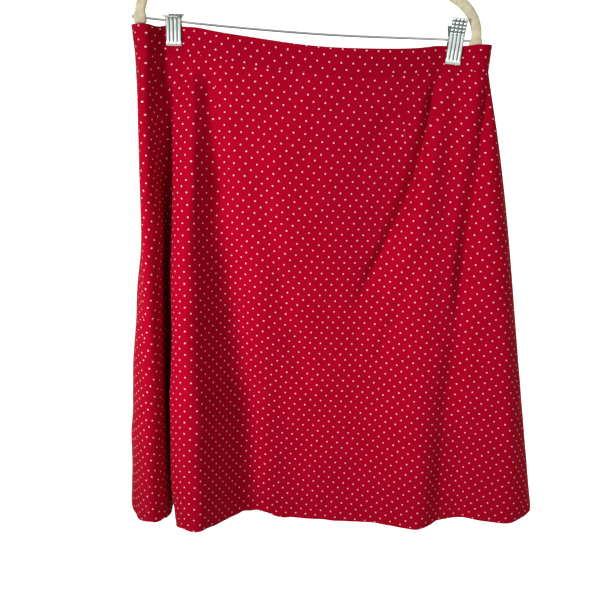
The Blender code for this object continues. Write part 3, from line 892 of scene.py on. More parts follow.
def cloth_piece(name, surface, shape, distances, wall, crisp, uv, turn_up=0.0):
    """A closed shell about a shaped cloth surface, in its place under the hook."""
    half = rounded_half(edge_distance(surface, distances, crisp), wall / 2)
    fold = SKIRT_LENGTH - TURN_UP
    folded = smooth_step(fold - TURN_UP_EASE, fold, distances)
    inner = half * (1 + turn_up / (wall / 2) * folded[:, None])
    points = hung(shell_points(shape, half, inner))
    faces = shell_faces(*surface.shape[:2])
    piece = mesh_piece(name, points, faces, both_faces(uv))
    print(name, "faces:", len(faces))
    return piece


def band_surface(first_t):
    """The waistband's middle surface over the same columns as its panel."""
    t = np.broadcast_to(first_t, (len(band_rows), len(first_t)))
    return with_side_edges(cloth_surface(band_rows, t), BAND_WALL / 2)


def band_map(surface, middle):
    """The waistband is a straight strip: across along it, and down its depth."""
    return np.stack(flat_places(surface, band_rows, middle), axis=-1).reshape(-1, 4, 2)


front_band, back_band = band_surface(front_t), band_surface(back_t)
front_band_depth = seam_depth(front_band, band_rows, 0) + crossing_depth(front_band)
back_band_depth = seam_depth(back_band, band_rows, BACK_SHIFT)
panel_make = panel_rows, PANEL_WALL, PANEL_CRISP
band_make = band_rows, BAND_WALL, BAND_CRISP
skirt_front = cloth_piece(
    "skirt_front", front_cloth, front_shape, *panel_make, front_uv, TURN_UP_STEP
)
skirt_back = cloth_piece(
    "skirt_back", back_cloth, back_shape, *panel_make, back_uv, TURN_UP_STEP
)
band_front = cloth_piece(
    "band_front", front_band, moved_out(front_band, front_band_depth), *band_make,
    band_map(front_band, front_middle),
)
band_back = cloth_piece(
    "band_back", back_band, moved_out(back_band, back_band_depth), *band_make,
    band_map(back_band, back_middle),
)

# %% [markdown]
# ## Blind-hem stitches
#
# The hem shows no sewing outside, so it is sewn blind: inside, short slanting stitches
# catch the fold's edge and one thread of the panel. Each is a tiny capped tube that climbs
# from the panel's inner face up on to the turned-up cloth.

# %% Hem stitches
STITCH_STEP = 9 * MM
STITCH_HALF = np.array([1.7, 1.5]) * MM  # half its length across and down
STITCH_RADIUS = 0.24 * MM
STITCH_SIDES = 6
STITCH_PATH = np.array([-1.0, -0.5, 0.0, 0.5, 1.0])
STITCH_CLIMB = (-0.45, 0.1)  # where along its path it climbs on to the turn-up
STITCH_ARCH = (0.9, 1.3)  # in radii: how far it stands out, and how much less at its ends
FOLD_ROWS = 3  # rows to each side of the fold that say which way is down there


def hem_stitches(name, shape, distances):
    """Slanting stitches along the edge of the turn-up, on a panel's inner face."""
    row = int(np.argmin(abs(distances - (SKIRT_LENGTH - TURN_UP))))
    outward_there = normals_of(shape)[row]
    down_there = unit(shape[row + FOLD_ROWS] - shape[row - FOLD_ROWS])
    reach = length_along(shape[row])
    places = np.arange(1.2 * STITCH_STEP, reach[-1] - STITCH_STEP, STITCH_STEP)

    centres, out, down = (
        np.stack([np.interp(places, reach, line) for line in values.T], axis=-1)
        for values in (shape[row], outward_there, down_there)
    )
    across = np.cross(down, out)
    inward = PANEL_WALL / 2 + TURN_UP_STEP * smooth_step(*STITCH_CLIMB, STITCH_PATH)
    inward = inward + STITCH_RADIUS * (STITCH_ARCH[0] - STITCH_ARCH[1] * STITCH_PATH**2)
    parts = []
    for centre, n, d, a in zip(centres, out, down, across):
        slant = STITCH_PATH[:, None] * (a * STITCH_HALF[0] + d * STITCH_HALF[1])
        path = centre + slant - n * inward[:, None]
        beside = unit(np.cross(slant[-1], n))
        size = np.full(len(path), STITCH_RADIUS)
        spread = np.broadcast_to(beside, path.shape), np.broadcast_to(n, path.shape)
        parts.append(tube(path, *spread, size, size, STITCH_SIDES))
    points, faces = joined(parts)
    print(name, "stitches:", len(places), "of", len(parts[0][1]), "faces each")
    return mesh_piece(name, hung(points), faces)


stitches_front = hem_stitches("hem_stitches_front", front_shape, panel_rows)
stitches_back = hem_stitches("hem_stitches_back", back_shape, panel_rows)

# %% [markdown]
# ## The flocked hanger
#
# The hanger is one moulded arch, velvety with short cream fibres. Its centre line is a
# smooth curve through a few named points, mirrored, and its section is a boxy oval. A ring
# of that section is set square to the line at each station. The tips end in a small foot.

# %% Hanger arms
HUB_RISE = 113 * MM
ARM_WIDTH = 11.4 * MM
ARM_THICKNESS = 6 * MM
ARM_BOXY = 0.7
ARM_STATIONS = 300
ARM_SIDES = 44
ARM_TIP_ROUND = 2.0 * MM
FOOT_LENGTH = 10 * MM
FOOT_EASE = 3 * MM  # over which the foot narrows to the arm
FOOT_SWELL = 0.26
TIP_STEPS = np.array([0, 0.03, 0.12, 0.3, 0.6])  # in tip lengths, for a round tip
# The right arm's centre line, in millimetres from the middle and above the waist edge.
ArmPoint = namedtuple("ArmPoint", "name out rise")
ARM = (
    ArmPoint("tip", 193, 7.5),
    ArmPoint("rod", 193.5, 20),
    ArmPoint("curl", 190.2, 35),
    ArmPoint("shoulder", 180.3, 49.4),
    ArmPoint("slope_end", 166, 59.4),
    ArmPoint("slope", 128, 73.5),
    ArmPoint("slope_top", 84, 89.5),
    ArmPoint("neck", 38, 104.5),
)


def stations(length, count, tip):
    """Even distances along a line, closer over its two round tips."""
    close = tip * TIP_STEPS
    even = np.linspace(tip, length - tip, count)
    return np.concatenate([close, even, length - close[::-1]])


def round_ends(reach, tip):
    """1 along a line, and a quarter circle down to 0 over each tip."""
    part = np.clip(np.minimum(reach, reach[-1] - reach) / tip, 0, 1)
    return np.sqrt(1 - (1 - part) ** 2)


def plane_frame(path):
    """For a path in the hanger's plane: the direction across it, and straight back."""
    back = np.broadcast_to([0.0, 1.0, 0.0], path.shape)
    return np.cross(back, unit(np.gradient(path, axis=0))), back


def smooth_path(points, count, tip):
    """A natural cubic curve through points, with its distances along."""
    points = np.asarray(points, float)
    knots = length_along(points)
    reach = stations(knots[-1], count, tip)
    return natural_curve(knots, points, reach), reach


right_arm = [(arm.out * MM, 0, arm.rise * MM - HOOK_TO_WAIST) for arm in ARM]
left_arm = [(-x, y, z) for x, y, z in right_arm]
hub = [(0, 0, HUB_RISE - HOOK_TO_WAIST)]
arm_path, arm_reach = smooth_path(left_arm + hub + right_arm[::-1], ARM_STATIONS, ARM_TIP_ROUND)
to_tip = np.minimum(arm_reach, arm_reach[-1] - arm_reach)
foot = 1 - smooth_step(FOOT_LENGTH, FOOT_LENGTH + FOOT_EASE, to_tip)
arm_size = round_ends(arm_reach, ARM_TIP_ROUND) * (1 + FOOT_SWELL * foot)
hanger_arms = tube_piece(
    "hanger_arms", arm_path, *plane_frame(arm_path), arm_size * ARM_WIDTH / 2,
    arm_size * ARM_THICKNESS / 2, sides=ARM_SIDES, boxy=ARM_BOXY,
)
print("arms: length along in mm", round(arm_reach[-1] / MM))

# %% [markdown]
# ## Crossbar, hook and collar
#
# The crossbar is a thin wire, a little bowed under the weight between the arms, with a
# small head at each end. The hook is one wire: most of a circle over the rail, then an S
# back to the middle and a stem into a short turned collar.

# %% Wires and collar
ROD_WIRE = 2.5 * MM
ROD_RISE = 15.6 * MM
ROD_BOW = 4.2 * MM
ROD_TILT = 1.2 * MM  # the right end sits this much higher in the arms, the left end lower
ROD_LIFT = 5.0 * MM  # the wire is bent up between the middle and the right clip
ROD_END = 202.5 * MM
ROD_RIGHT_END = 198 * MM  # inside the right foot
ROD_HEAD = 4.2 * MM
ROD_HEAD_LENGTH = 0.9 * MM
ROD_HEAD_STEPS = np.array([0, 0.02, 0.3, 0.8, 1.0, 1.05])  # in head lengths
ROD_HEAD_FACE = 0.82  # the head's flat end is this much of its width, and the rest is round
ROD_HEAD_ROUND = 0.35  # over this share of its length
ROD_PLAIN = 2 * MM  # the even stations begin this far from an end
ROD_STATIONS = 120
HALF_SPAN = 193 * MM
HOOK_RADIUS = 19 * MM
HOOK_WIRE = 3.4 * MM
EYE_TURN = (195, -40)  # degrees round the rail, from the hook's tip to its tail
EYE_POINTS = 40
HOOK_STATIONS = 220
STEM_LENGTH = 2 * MM  # the wire's end, inside the collar
# Millimetres right of the middle and up from the top of the rail.
HOOK_TAIL = ((9.5, -41), (3.2, -47.5), (0.4, -54), (0, -58))
WIRE_SIDES = 20
COLLAR_SIDES = 36
# The turned collar's height above the hub and its radius there, from its foot up.
COLLAR_PROFILE = (
    (0.3, 0), (0.3, 4.3), (0.6, 4.6), (1.5, 4.6), (1.8, 4.2), (2.4, 4.2), (5.6, 3.6),
    (6.1, 3.3), (6.5, 3.3), (6.8, 3.5), (8.4, 3.2), (8.9, 2.7), (9.0, 2.2), (9.0, 0),
)


def rod_height(x):
    """Height of the crossbar: ROD_RISE at the arms, and ROD_BOW lower at the middle.

    With p the part of the way to the right arm, ROD_LIFT p^2 (1 - p^2) bends it up there.
    """
    inside = np.minimum(abs(x) / HALF_SPAN, 1)
    right = np.clip(x / HALF_SPAN, 0, 1)
    bend = ROD_LIFT * right**2 * (1 - right**2) - ROD_BOW * (1 - inside**2)
    return ROD_RISE + ROD_TILT * x / HALF_SPAN + bend - HOOK_TO_WAIST


head = ROD_HEAD_LENGTH * ROD_HEAD_STEPS
rod_x = np.concatenate([
    head - ROD_END,
    np.linspace(ROD_PLAIN - ROD_END, ROD_RIGHT_END - ROD_PLAIN, ROD_STATIONS),
    ROD_RIGHT_END - head[::-1],
])
rod_path = np.stack([rod_x, np.zeros_like(rod_x), rod_height(rod_x)], axis=-1)
to_end = np.minimum(rod_x + ROD_END, ROD_RIGHT_END - rod_x)
rod_radius = np.where(to_end > ROD_HEAD_LENGTH * 1.02, ROD_WIRE, ROD_HEAD) / 2
rounding = smooth_step(0, ROD_HEAD_ROUND * ROD_HEAD_LENGTH, to_end)
rod_radius = rod_radius * (ROD_HEAD_FACE + (1 - ROD_HEAD_FACE) * rounding)
crossbar = tube_piece(
    "crossbar", rod_path, *plane_frame(rod_path), rod_radius, rod_radius, sides=WIRE_SIDES
)

eye = np.radians(np.linspace(*EYE_TURN, EYE_POINTS))
eye_radius = HOOK_RADIUS + HOOK_WIRE / 2
hub_top = HUB_RISE + ARM_WIDTH / 2 - HOOK_TO_WAIST
hook_line = [(eye_radius * math.cos(a), 0, eye_radius * math.sin(a) - HOOK_RADIUS) for a in eye]
hook_line += [(x * MM, 0, z * MM) for x, z in HOOK_TAIL] + [(0, 0, hub_top + STEM_LENGTH)]
hook_path, hook_reach = smooth_path(hook_line, HOOK_STATIONS, HOOK_WIRE / 2)
hook_size = round_ends(hook_reach, HOOK_WIRE / 2) * HOOK_WIRE / 2
wire_hook = tube_piece(
    "wire_hook", hook_path, *plane_frame(hook_path), hook_size, hook_size, sides=WIRE_SIDES
)

collar_path = np.array([(0, 0, hub_top + rise * MM) for rise, _ in COLLAR_PROFILE])
collar_size = np.array([radius * MM for _, radius in COLLAR_PROFILE])
collar_ways = (np.broadcast_to(way, collar_path.shape) for way in ([1.0, 0, 0], [0, 1.0, 0]))
collar = tube_piece(
    "collar", collar_path, *collar_ways, collar_size, collar_size, sides=COLLAR_SIDES
)
print("faces:", [(wire.name, len(wire.data.polygons)) for wire in (crossbar, wire_hook, collar)])

# %% [markdown]
# ## Spring clips
#
# Each clip is two plates of stamped spring steel on the crossbar, with a coil between
# them. A plate is one strip: a plain lip that bites the band, a jaw with four long ribs, a
# bend at the coil, and a lever whose ribs are broken into rows of dimples for the thumb.
#
# The strip's side view is a line of named points with its corners softened. Across it the
# ribs are a raised cosine, and along the lever a second cosine turns them into dimples.

# %% Clip plates
CLIP_WIDTH = 17.5 * MM
LEVER_LENGTH = 19 * MM
PLATE_STEEL = 0.8 * MM
RIB_HEIGHT = 1.1 * MM
RIBS = 4
RIB_SHARP = 1.6  # the power of the cosine, so that a rib is narrower than its groove
LEVER_RIBS = ((0.88, 1), (1, 0.25))  # parts of the lever, and how strong its ribs are there
DIMPLE_ROWS = 5
DIMPLE_DEEP = 0.6
DIMPLE_SLANT = 0.4
DIMPLES_FROM = 0.04  # part of the lever over which they begin
BEND_SOFT = 1.4 * MM
LEVER_CURL = 1.1 * MM
CURL_FROM = 0.86  # part of the lever where its tip begins to curl
CURL_POWER = 1.5
PROFILE_STEPS = 130
PLATE_ROWS = 118
PLATE_COLUMNS = 61
# The jaw's side view, in millimetres out from the crossbar and above it.
JawPoint = namedtuple("JawPoint", "name out rise ribbed")
JAW = (
    JawPoint("lip", 3.7, -27.0, 0),
    JawPoint("bite", 2.85, -24.8, 0),
    JawPoint("low", 3.1, -21.5, 1),
    JawPoint("middle", 3.3, -12, 1),
    JawPoint("spring", 3, -3, 1),
    JawPoint("bend", 3, 4.5, 1),
)
# How far each plate's lever leans out from upright and how the clip is turned, in degrees.
Clip = namedtuple("Clip", "side centre front_lean back_lean turn")
CLIPS = (
    Clip("left", CLIP_CENTRES[0], 96, 66, 2.8),
    Clip("right", CLIP_CENTRES[1], 14, 42, -1.7),
)


def softened(values, spacing, soft):
    """Values along a line after a running mean about as wide as soft, with ends kept."""
    width = 2 * int(round(soft / spacing / 2)) + 1
    padded = np.pad(values, width // 2, mode="reflect", reflect_type="odd")
    return np.convolve(padded, np.ones(width) / width, mode="valid")


def turned_with_clip(clip, wide, out, height):
    """Places in a clip's own frame, put on the crossbar and turned by the clip's tilt."""
    turn = math.radians(clip.turn)
    middle = clip.centre + SKIRT_OFF_CENTRE
    x = middle + wide * math.cos(turn) - height * math.sin(turn)
    z = rod_height(middle) + wide * math.sin(turn) + height * math.cos(turn)
    return np.stack([x, -out, z], axis=-1)


def plate_profile(lean_angle):
    """Side view of a plate: distance along, out, rise, rib strength and part of lever."""
    lean = math.radians(lean_angle)
    outs = [point.out * MM for point in JAW]
    rises = [point.rise * MM for point in JAW]
    ribs = [point.ribbed for point in JAW]
    jaw_length = length_along(np.array([outs, rises]).T)[-1]
    for part, ribbed in LEVER_RIBS:
        outs.append(JAW[-1].out * MM + part * LEVER_LENGTH * math.sin(lean))
        rises.append(JAW[-1].rise * MM + part * LEVER_LENGTH * math.cos(lean))
        ribs.append(ribbed)
    knots = length_along(np.array([outs, rises]).T)
    spacing = knots[-1] / PROFILE_STEPS
    even = np.linspace(0, knots[-1], PROFILE_STEPS + 1)
    out = softened(np.interp(even, knots, outs), spacing, BEND_SOFT)
    rise = softened(np.interp(even, knots, rises), spacing, BEND_SOFT)
    lever = np.clip((even - jaw_length) / LEVER_LENGTH, 0, 1)
    curl = LEVER_CURL * smooth_step(CURL_FROM, 1, lever) ** CURL_POWER
    out = out + curl * math.cos(lean)
    rise = rise - curl * math.sin(lean)
    return even, out, rise, np.interp(even, knots, ribs), lever


def clip_plate(clip, facing, lean_angle):
    """One plate: its side view carried across, with ribs and dimples pushed outwards.

    Its map says how deep each place lies between the ribs, from 0 on top to 1 in a groove,
    where the steel's colour is painted dark as shade, and how far along the strip it is.
    """
    even, out, rise, ribbed, lever = plate_profile(lean_angle)
    along = stations(even[-1], PLATE_ROWS, PLATE_STEEL / 2)
    out, rise, ribbed, lever = (np.interp(along, even, v) for v in (out, rise, ribbed, lever))
    across = stations(1.0, PLATE_COLUMNS, PLATE_STEEL / 2 / CLIP_WIDTH) - 0.5
    in_rib = RIBS * (across + 0.5) % 1 - 0.5
    rib = np.cos(np.pi * in_rib) ** RIB_SHARP
    rows_up = DIMPLE_ROWS * lever[:, None] - DIMPLE_SLANT * in_rib[None]
    dimpled = smooth_step(0, DIMPLES_FROM, lever)[:, None]
    gap = dimpled * (0.5 + 0.5 * np.cos(2 * np.pi * rows_up))
    raised = RIB_HEIGHT * ribbed[:, None] * (1 - DIMPLE_DEEP * gap) * rib[None]
    side_view = unit(np.stack([np.gradient(out), np.gradient(rise)], axis=-1))
    outs = out[:, None] + (raised + PLATE_STEEL / 2) * side_view[:, 1:]
    rises = rise[:, None] - (raised + PLATE_STEEL / 2) * side_view[:, :1]
    wide = np.broadcast_to(across * CLIP_WIDTH, outs.shape)
    middle = turned_with_clip(clip, wide, facing * outs, rises)[::-facing]
    to_end = np.minimum(along, along[-1] - along)[::-facing, None]
    to_side = (0.5 - abs(across)) * CLIP_WIDTH
    half = rounded_half(np.minimum(to_end, to_side), PLATE_STEEL / 2)
    # This depth between the ribs is where the steel paints shade into its colour.
    depth = ribbed[:, None] * (1 - (1 - gap) * rib[None])
    strip = np.stack([depth, np.broadcast_to(along[:, None], depth.shape)], axis=-1)
    corners = both_faces(at_corners(strip[::-facing]).reshape(-1, 4, 2))
    return shell_points(middle, half, half), shell_faces(*middle.shape[:2]).tolist(), corners


strips = [plate_profile(clip.front_lean)[0][-1] / MM for clip in CLIPS]
print("length of the front plates' strips in mm:", np.round(strips, 1))

# %% [markdown]
# ## Ears, coils and both clips
#
# A plate holds on to the crossbar by a small round ear at each side, bent from its own
# steel, and the coil between the plates pushes their levers apart, so that the lips bite.
# An ear is a flat ring with a boxy section, and the coil is a tube along a helix. The back
# plate's ears turn inside the front plate's.

# %% Ears, springs and both clips
SPRING_RADIUS = 2.6 * MM
SPRING_WIRE = 0.85 * MM
SPRING_LENGTH = 9 * MM
SPRING_SIDES = 8
SPRING_STEPS = 26  # in each turn
EAR_INNER = 1.6 * MM
EAR_OUTER = 3.0 * MM
EAR_THICK = 0.7 * MM
EAR_BOXY = 0.5
EAR_ROUND = 36
EAR_SIDES = 12
EAR_PLAY = 0.2 * MM  # the back plate's ears turn inside the front plate's


def clip_ear(clip, wide):
    """A flat ring of the plate's steel round the crossbar, beside the coil."""
    turn = np.linspace(0, 2 * np.pi, EAR_ROUND, endpoint=False)[:, None]
    around = np.linspace(0, 2 * np.pi, EAR_SIDES, endpoint=False)[None]
    out, aside = boxy_circle(around, EAR_BOXY)
    radius = (EAR_INNER + EAR_OUTER) / 2 + (EAR_OUTER - EAR_INNER) / 2 * out
    level = wide + EAR_THICK / 2 * aside + 0 * turn
    points = turned_with_clip(clip, level, radius * np.cos(turn), radius * np.sin(turn))
    number = np.arange(points[..., 0].size).reshape(points.shape[:2])
    number = np.pad(number, ((0, 1), (0, 1)), mode="wrap")
    points = points.reshape(-1, 3)
    return points, outward(points, grid_quads(number).tolist())


def clip_spring(clip):
    """A close coil about the crossbar: radius and height turn while x steps along."""
    turns = SPRING_LENGTH / SPRING_WIRE - 1
    angle = np.linspace(0, 2 * np.pi * turns, int(SPRING_STEPS * turns))
    radial = SPRING_RADIUS - SPRING_WIRE / 2
    level = (angle / angle[-1] - 0.5) * (SPRING_LENGTH - SPRING_WIRE)
    path = turned_with_clip(clip, level, radial * np.cos(angle), radial * np.sin(angle))
    centre = turned_with_clip(clip, level, 0 * angle, 0 * angle)
    away = unit(path - centre)
    beside = np.cross(unit(np.gradient(path, axis=0)), away)
    size = np.full(len(path), SPRING_WIRE / 2)
    return tube(path, away, beside, size, size, SPRING_SIDES)


clip_pieces = []
for clip in CLIPS:
    ears = CLIP_WIDTH / 2 - EAR_THICK / 2
    for place, facing, lean_angle, ear in (
        ("front", 1, clip.front_lean, ears),
        ("back", -1, clip.back_lean, ears - EAR_THICK - EAR_PLAY),
    ):
        points, faces, corners = clip_plate(clip, facing, lean_angle)
        parts = [(points, faces), clip_ear(clip, ear), clip_ear(clip, -ear)]
        points, faces = joined(parts)
        corner_uv = np.zeros((len(faces), 4, 2))
        corner_uv[: len(corners)] = corners
        plate = mesh_piece(f"clip_plate_{place}_{clip.side}", hung(points), faces, corner_uv)
        clip_pieces.append((plate, f"clip_{place}_{clip.side}"))
    points, faces = clip_spring(clip)
    spring = mesh_piece(f"clip_coil_{clip.side}", hung(points), faces)
    clip_pieces.append((spring, f"clip_spring_{clip.side}"))
print("clip pieces:", [piece.name for piece, _ in clip_pieces])

# %% [markdown]
# ## Shader nodes in few words
#
# A material is a tree of nodes. These helpers make a node and feed its inputs in one call,
# from another node's socket or from a plain number or colour, so that the cells below read
# as the sums that they are.

# %% Node helpers
def feed(tree, socket, value):
    """Links a node's input to a socket, or sets it to a number, a vector or a colour."""
    if isinstance(value, bpy.types.NodeSocket):
        tree.links.new(value, socket)
    else:
        socket.default_value = (*value, 1) if socket.type == "RGBA" else value


def feed_named(tree, inputs, values):
    """Feeds inputs by number or name, where an underscore stands for a space."""
    for label, value in values.items():
        feed(tree, inputs[label.replace("_", " ") if isinstance(label, str) else label], value)


def node(tree, kind, values, **settings):
    """A shader node of this kind, with its settings, whose inputs are fed these values."""
    made = tree.nodes.new("ShaderNode" + kind)
    for name, value in settings.items():
        setattr(made, name, value)
    feed_named(tree, made.inputs, values)
    return made


def math_node(tree, operation, *values):
    """The result of a Math node."""
    return node(tree, "Math", dict(enumerate(values)), operation=operation).outputs[0]


def vector_node(tree, operation, *values):
    """The result of a Vector Math node, which is a number for a length."""
    made = node(tree, "VectorMath", dict(enumerate(values)), operation=operation)
    return made.outputs["Value" if operation == "LENGTH" else "Vector"]


def noise_node(tree, vector, scale, detail=2.0, roughness=0.5):
    """A Noise node."""
    values = {"Vector": vector, "Scale": scale, "Detail": detail, "Roughness": roughness}
    return node(tree, "TexNoise", values)


def soft_range(tree, value, low, high, to_low, to_high):
    """A smooth S from to_low where the value is low to to_high where it is high."""
    values = {
        "Value": value, "From Min": low, "From Max": high, "To Min": to_low, "To Max": to_high,
    }
    made = node(tree, "MapRange", values, interpolation_type="SMOOTHSTEP")
    return made.outputs["Result"]


def combine(tree, x, y):
    """A vector of two numbers, with z at 0."""
    return node(tree, "CombineXYZ", {0: x, 1: y}).outputs[0]


def mixed(tree, factor, first, second):
    """Colour first where factor is 0 and second where it is 1."""
    return node(tree, "Mix", {0: factor, 6: first, 7: second}, data_type="RGBA").outputs[2]


def new_group(name, outputs, **inputs):
    """A shader group, what it gets and what it gives.

    It gets a Vector and these inputs, which are numbers or colours.
    """
    group = bpy.data.node_groups.new(name, "ShaderNodeTree")
    group.interface.new_socket("Vector", in_out="INPUT", socket_type="NodeSocketVector")
    for label, value in inputs.items():
        kind = "NodeSocketColor" if isinstance(value, tuple) else "NodeSocketFloat"
        socket = group.interface.new_socket(
            label.replace("_", " "), in_out="INPUT", socket_type=kind
        )
        socket.default_value = value
    for label in outputs:
        kind = "NodeSocketColor" if label == "Colour" else "NodeSocketFloat"
        group.interface.new_socket(label, in_out="OUTPUT", socket_type=kind)
    get, give = group.nodes.new("NodeGroupInput"), group.nodes.new("NodeGroupOutput")
    return group, get.outputs, give.inputs


print("kinds of shader node:", sum(name.startswith("ShaderNode") for name in dir(bpy.types)))

# %% [markdown]
# ## Effects that several materials share
#
# Three effects are shader groups, each built once and placed in a material with its own
# values. The dots are a staggered lattice: two square lattices, one at the corners and one
# at the middles of the cells, and a dot wherever the nearer lattice point is closer than
# the dot's radius. The weave is two crossing sets of ridges. Mottle is soft noise that
# mixes two colours, for uneven dye, rubbed flock or hazy plating.

# %% Shader groups
DOT_EDGE = 0.18  # a dot's edge is soft over this share of its radius to each side
THREAD_WOBBLE = 0.4 * MM  # so that the weave's threads aren't straight
PATCH_EDGES = (0.35, 0.65)  # the noise where one colour begins and the other is full


def make_dots():
    """Mask of a staggered dot lattice, 1 inside a dot and 0 outside, from metres."""
    group, get, give = new_group(
        "pin dots", ["Mask"], Pitch_Across=0.0139, Pitch_Down=0.0146, Shift_Across=0.0,
        Shift_Down=0.0, Turn=0.0, Radius=0.0015, Wobble=0.0002,
    )
    turned = node(
        group, "VectorRotate", {"Vector": get["Vector"], "Angle": get["Turn"]},
        rotation_type="Z_AXIS",
    )
    unevenness = noise_node(group, get["Vector"], scale=60.0, detail=1.0).outputs["Color"]
    centred = vector_node(group, "SUBTRACT", unevenness, (0.5, 0.5, 0.5))
    amount = node(group, "VectorMath", {0: centred, "Scale": get["Wobble"]}, operation="SCALE")
    placed = vector_node(group, "ADD", turned.outputs[0], amount.outputs[0])
    shift = combine(group, get["Shift Across"], get["Shift Down"])
    pitch = combine(group, get["Pitch Across"], get["Pitch Down"])
    cell = vector_node(group, "DIVIDE", vector_node(group, "SUBTRACT", placed, shift), pitch)
    distances = []
    for offset in (0.5, 0.0):
        moved = vector_node(group, "ADD", cell, (offset, offset, 0))
        part = vector_node(group, "FRACTION", moved)
        from_dot = vector_node(group, "SUBTRACT", part, (0.5, 0.5, 0))
        in_metres = vector_node(group, "MULTIPLY", from_dot, pitch)
        distances.append(vector_node(group, "LENGTH", in_metres))
    nearest = math_node(group, "MINIMUM", *distances)
    inside = math_node(group, "MULTIPLY", get["Radius"], 1 - DOT_EDGE)
    outside = math_node(group, "MULTIPLY", get["Radius"], 1 + DOT_EDGE)
    feed(group, give["Mask"], soft_range(group, nearest, inside, outside, 1.0, 0.0))
    return group


def make_weave():
    """Height of a plain weave: warp and weft ridges that pass over each other in turn."""
    group, get, give = new_group("weave", ["Height"], Threads=2200.0)
    wobble = noise_node(group, get["Vector"], scale=300.0, detail=1.0).outputs["Color"]
    reach = (THREAD_WOBBLE, THREAD_WOBBLE, 0)
    shaken = vector_node(group, "MULTIPLY_ADD", wobble, reach, get["Vector"])
    parts = node(group, "SeparateXYZ", {0: shaken})
    turns = math_node(group, "MULTIPLY", get["Threads"], math.pi)
    ridges = [
        math_node(group, "SINE", math_node(group, "MULTIPLY", parts.outputs[axis], turns))
        for axis in ("X", "Y")
    ]
    over = math_node(group, "MULTIPLY", *ridges)
    feed(group, give["Height"], math_node(group, "MULTIPLY_ADD", over, 0.5, 0.5))
    return group


def make_mottle():
    """A colour made a little darker or lighter in soft uneven patches."""
    group, get, give = new_group(
        "mottle", ["Colour", "Noise"], Colour=(1, 1, 1, 1), Second=(1, 1, 1, 1), Scale=20.0,
        Amount=0.3,
    )
    noise = noise_node(group, get["Vector"], get["Scale"], detail=4.0, roughness=0.6)
    patch = soft_range(group, noise.outputs["Fac"], *PATCH_EDGES, 0.0, 1.0)
    factor = math_node(group, "MULTIPLY", patch, get["Amount"])
    feed(group, give["Colour"], mixed(group, factor, get["Colour"], get["Second"]))
    feed(group, give["Noise"], noise.outputs["Fac"])
    return group


DOTS, WEAVE, MOTTLE = make_dots(), make_weave(), make_mottle()
print("shader groups:", [group.name for group in bpy.data.node_groups])

# %% [markdown]
# ## Materials
#
# The cotton is matt, deep crimson and faintly uneven, with white dots that are woven in, so
# they take the weave's relief too. The waistband is the same cloth painted a little darker,
# as shade at the waist, with its own run of dots, and the hem's thread matches it. Flock is
# a dense velvet of short fibres over plastic, mottled where it is rubbed. The steel is plated,
# with a little haze and fine scratches: the crossbar's is greyer, and between a clip's ribs
# it is rougher and painted dark, as shade.
#
# All of them mottle two colours and roughen with the same patches, so one function makes
# them and the rest is values. A number that is the same all over stays on the shader's own
# socket.

# %% Cloth, flock and steel
CRIMSON = (0.39, 0.0012, 0.019), (0.335, 0.0008, 0.014)
STEEL = (0.60, 0.64, 0.62), (0.49, 0.53, 0.51)
# Painted shade: the dark colour laid into the grooves between a clip's ribs and the gaps between
# its dimples.
GROOVE_PAINTED_SHADE = (0.10, 0.13, 0.12)
WIRE = (0.42, 0.42, 0.41), (0.30, 0.30, 0.30)
FLOCK = (0.80, 0.73, 0.54), (0.58, 0.56, 0.41)
PAPER = (0.90, 0.90, 0.90), (0.88, 0.88, 0.88)
DOT_WHITE = (0.97, 0.58, 0.72)
DOT_PITCH_ACROSS = 13.7 * MM
DOT_PITCH_DOWN = 14.5 * MM
DOT_RADIUS = 0.88 * MM
DOT_RAISED = 0.10  # how much dots, threads and crumples count in the cloth's relief
THREAD_RAISED = 0.10
CRUMPLE_RAISED = 0.4
NOISE_RANGE = (0.3, 0.7)  # nearly all of a noise lies in it
# The painted shade in the grooves begins and is full at these depths between the ribs.
GROOVE_SHADE_EDGES = (0.26, 0.78)  # how deep between the ribs the dark begins and is full
GROOVE_DULL = 0.25  # how much rougher it is there


def placed_group(tree, group, vector, **values):
    """A group in a material, with its vector and the values of its other inputs."""
    return node(tree, "Group", {"Vector": vector, **values}, node_tree=group)


def grain_of(tree):
    """The piece's own map: metres on the cloth, or places on a clip's ribs."""
    return node(tree, "UVMap", {}, uv_map="grain").outputs["UV"]


Finish = namedtuple("Finish", "material tree shader place patches rough bump")


def mottled(name, colours, scale, amount, rough=None, relief=None, nap=None, grain=False, **own):
    """A material in soft patches of two colours, and its parts that a finish may add to.

    rough is the least and greatest roughness, in the same patches. relief is the bump's
    distance and strength, and nap the scale, detail and roughness of the noise in it. They
    all lie on the piece's own map with grain, or else on its Object coordinates. Other
    values go on the shader's own sockets.
    """
    made = bpy.data.materials.new(name)
    made.use_nodes = True
    tree = made.node_tree
    shader = tree.nodes["Principled BSDF"]
    place = grain_of(tree) if grain else node(tree, "TexCoord", {}).outputs["Object"]
    patches = placed_group(
        tree, MOTTLE, place, Colour=colours[0], Second=colours[1], Scale=scale, Amount=amount
    ).outputs
    spread = bump = None
    if rough:
        spread = own["Roughness"] = soft_range(tree, patches["Noise"], *NOISE_RANGE, *rough)
    if relief:
        bump = node(tree, "Bump", {"Distance": relief[0], "Strength": relief[1]})
        own["Normal"] = bump.outputs["Normal"]
    if nap:
        feed(tree, bump.inputs["Height"], noise_node(tree, place, *nap).outputs["Fac"])
    feed_named(tree, shader.inputs, {"Base Color": patches["Colour"], **own})
    return Finish(made, tree, shader.inputs, place, patches, spread, bump)


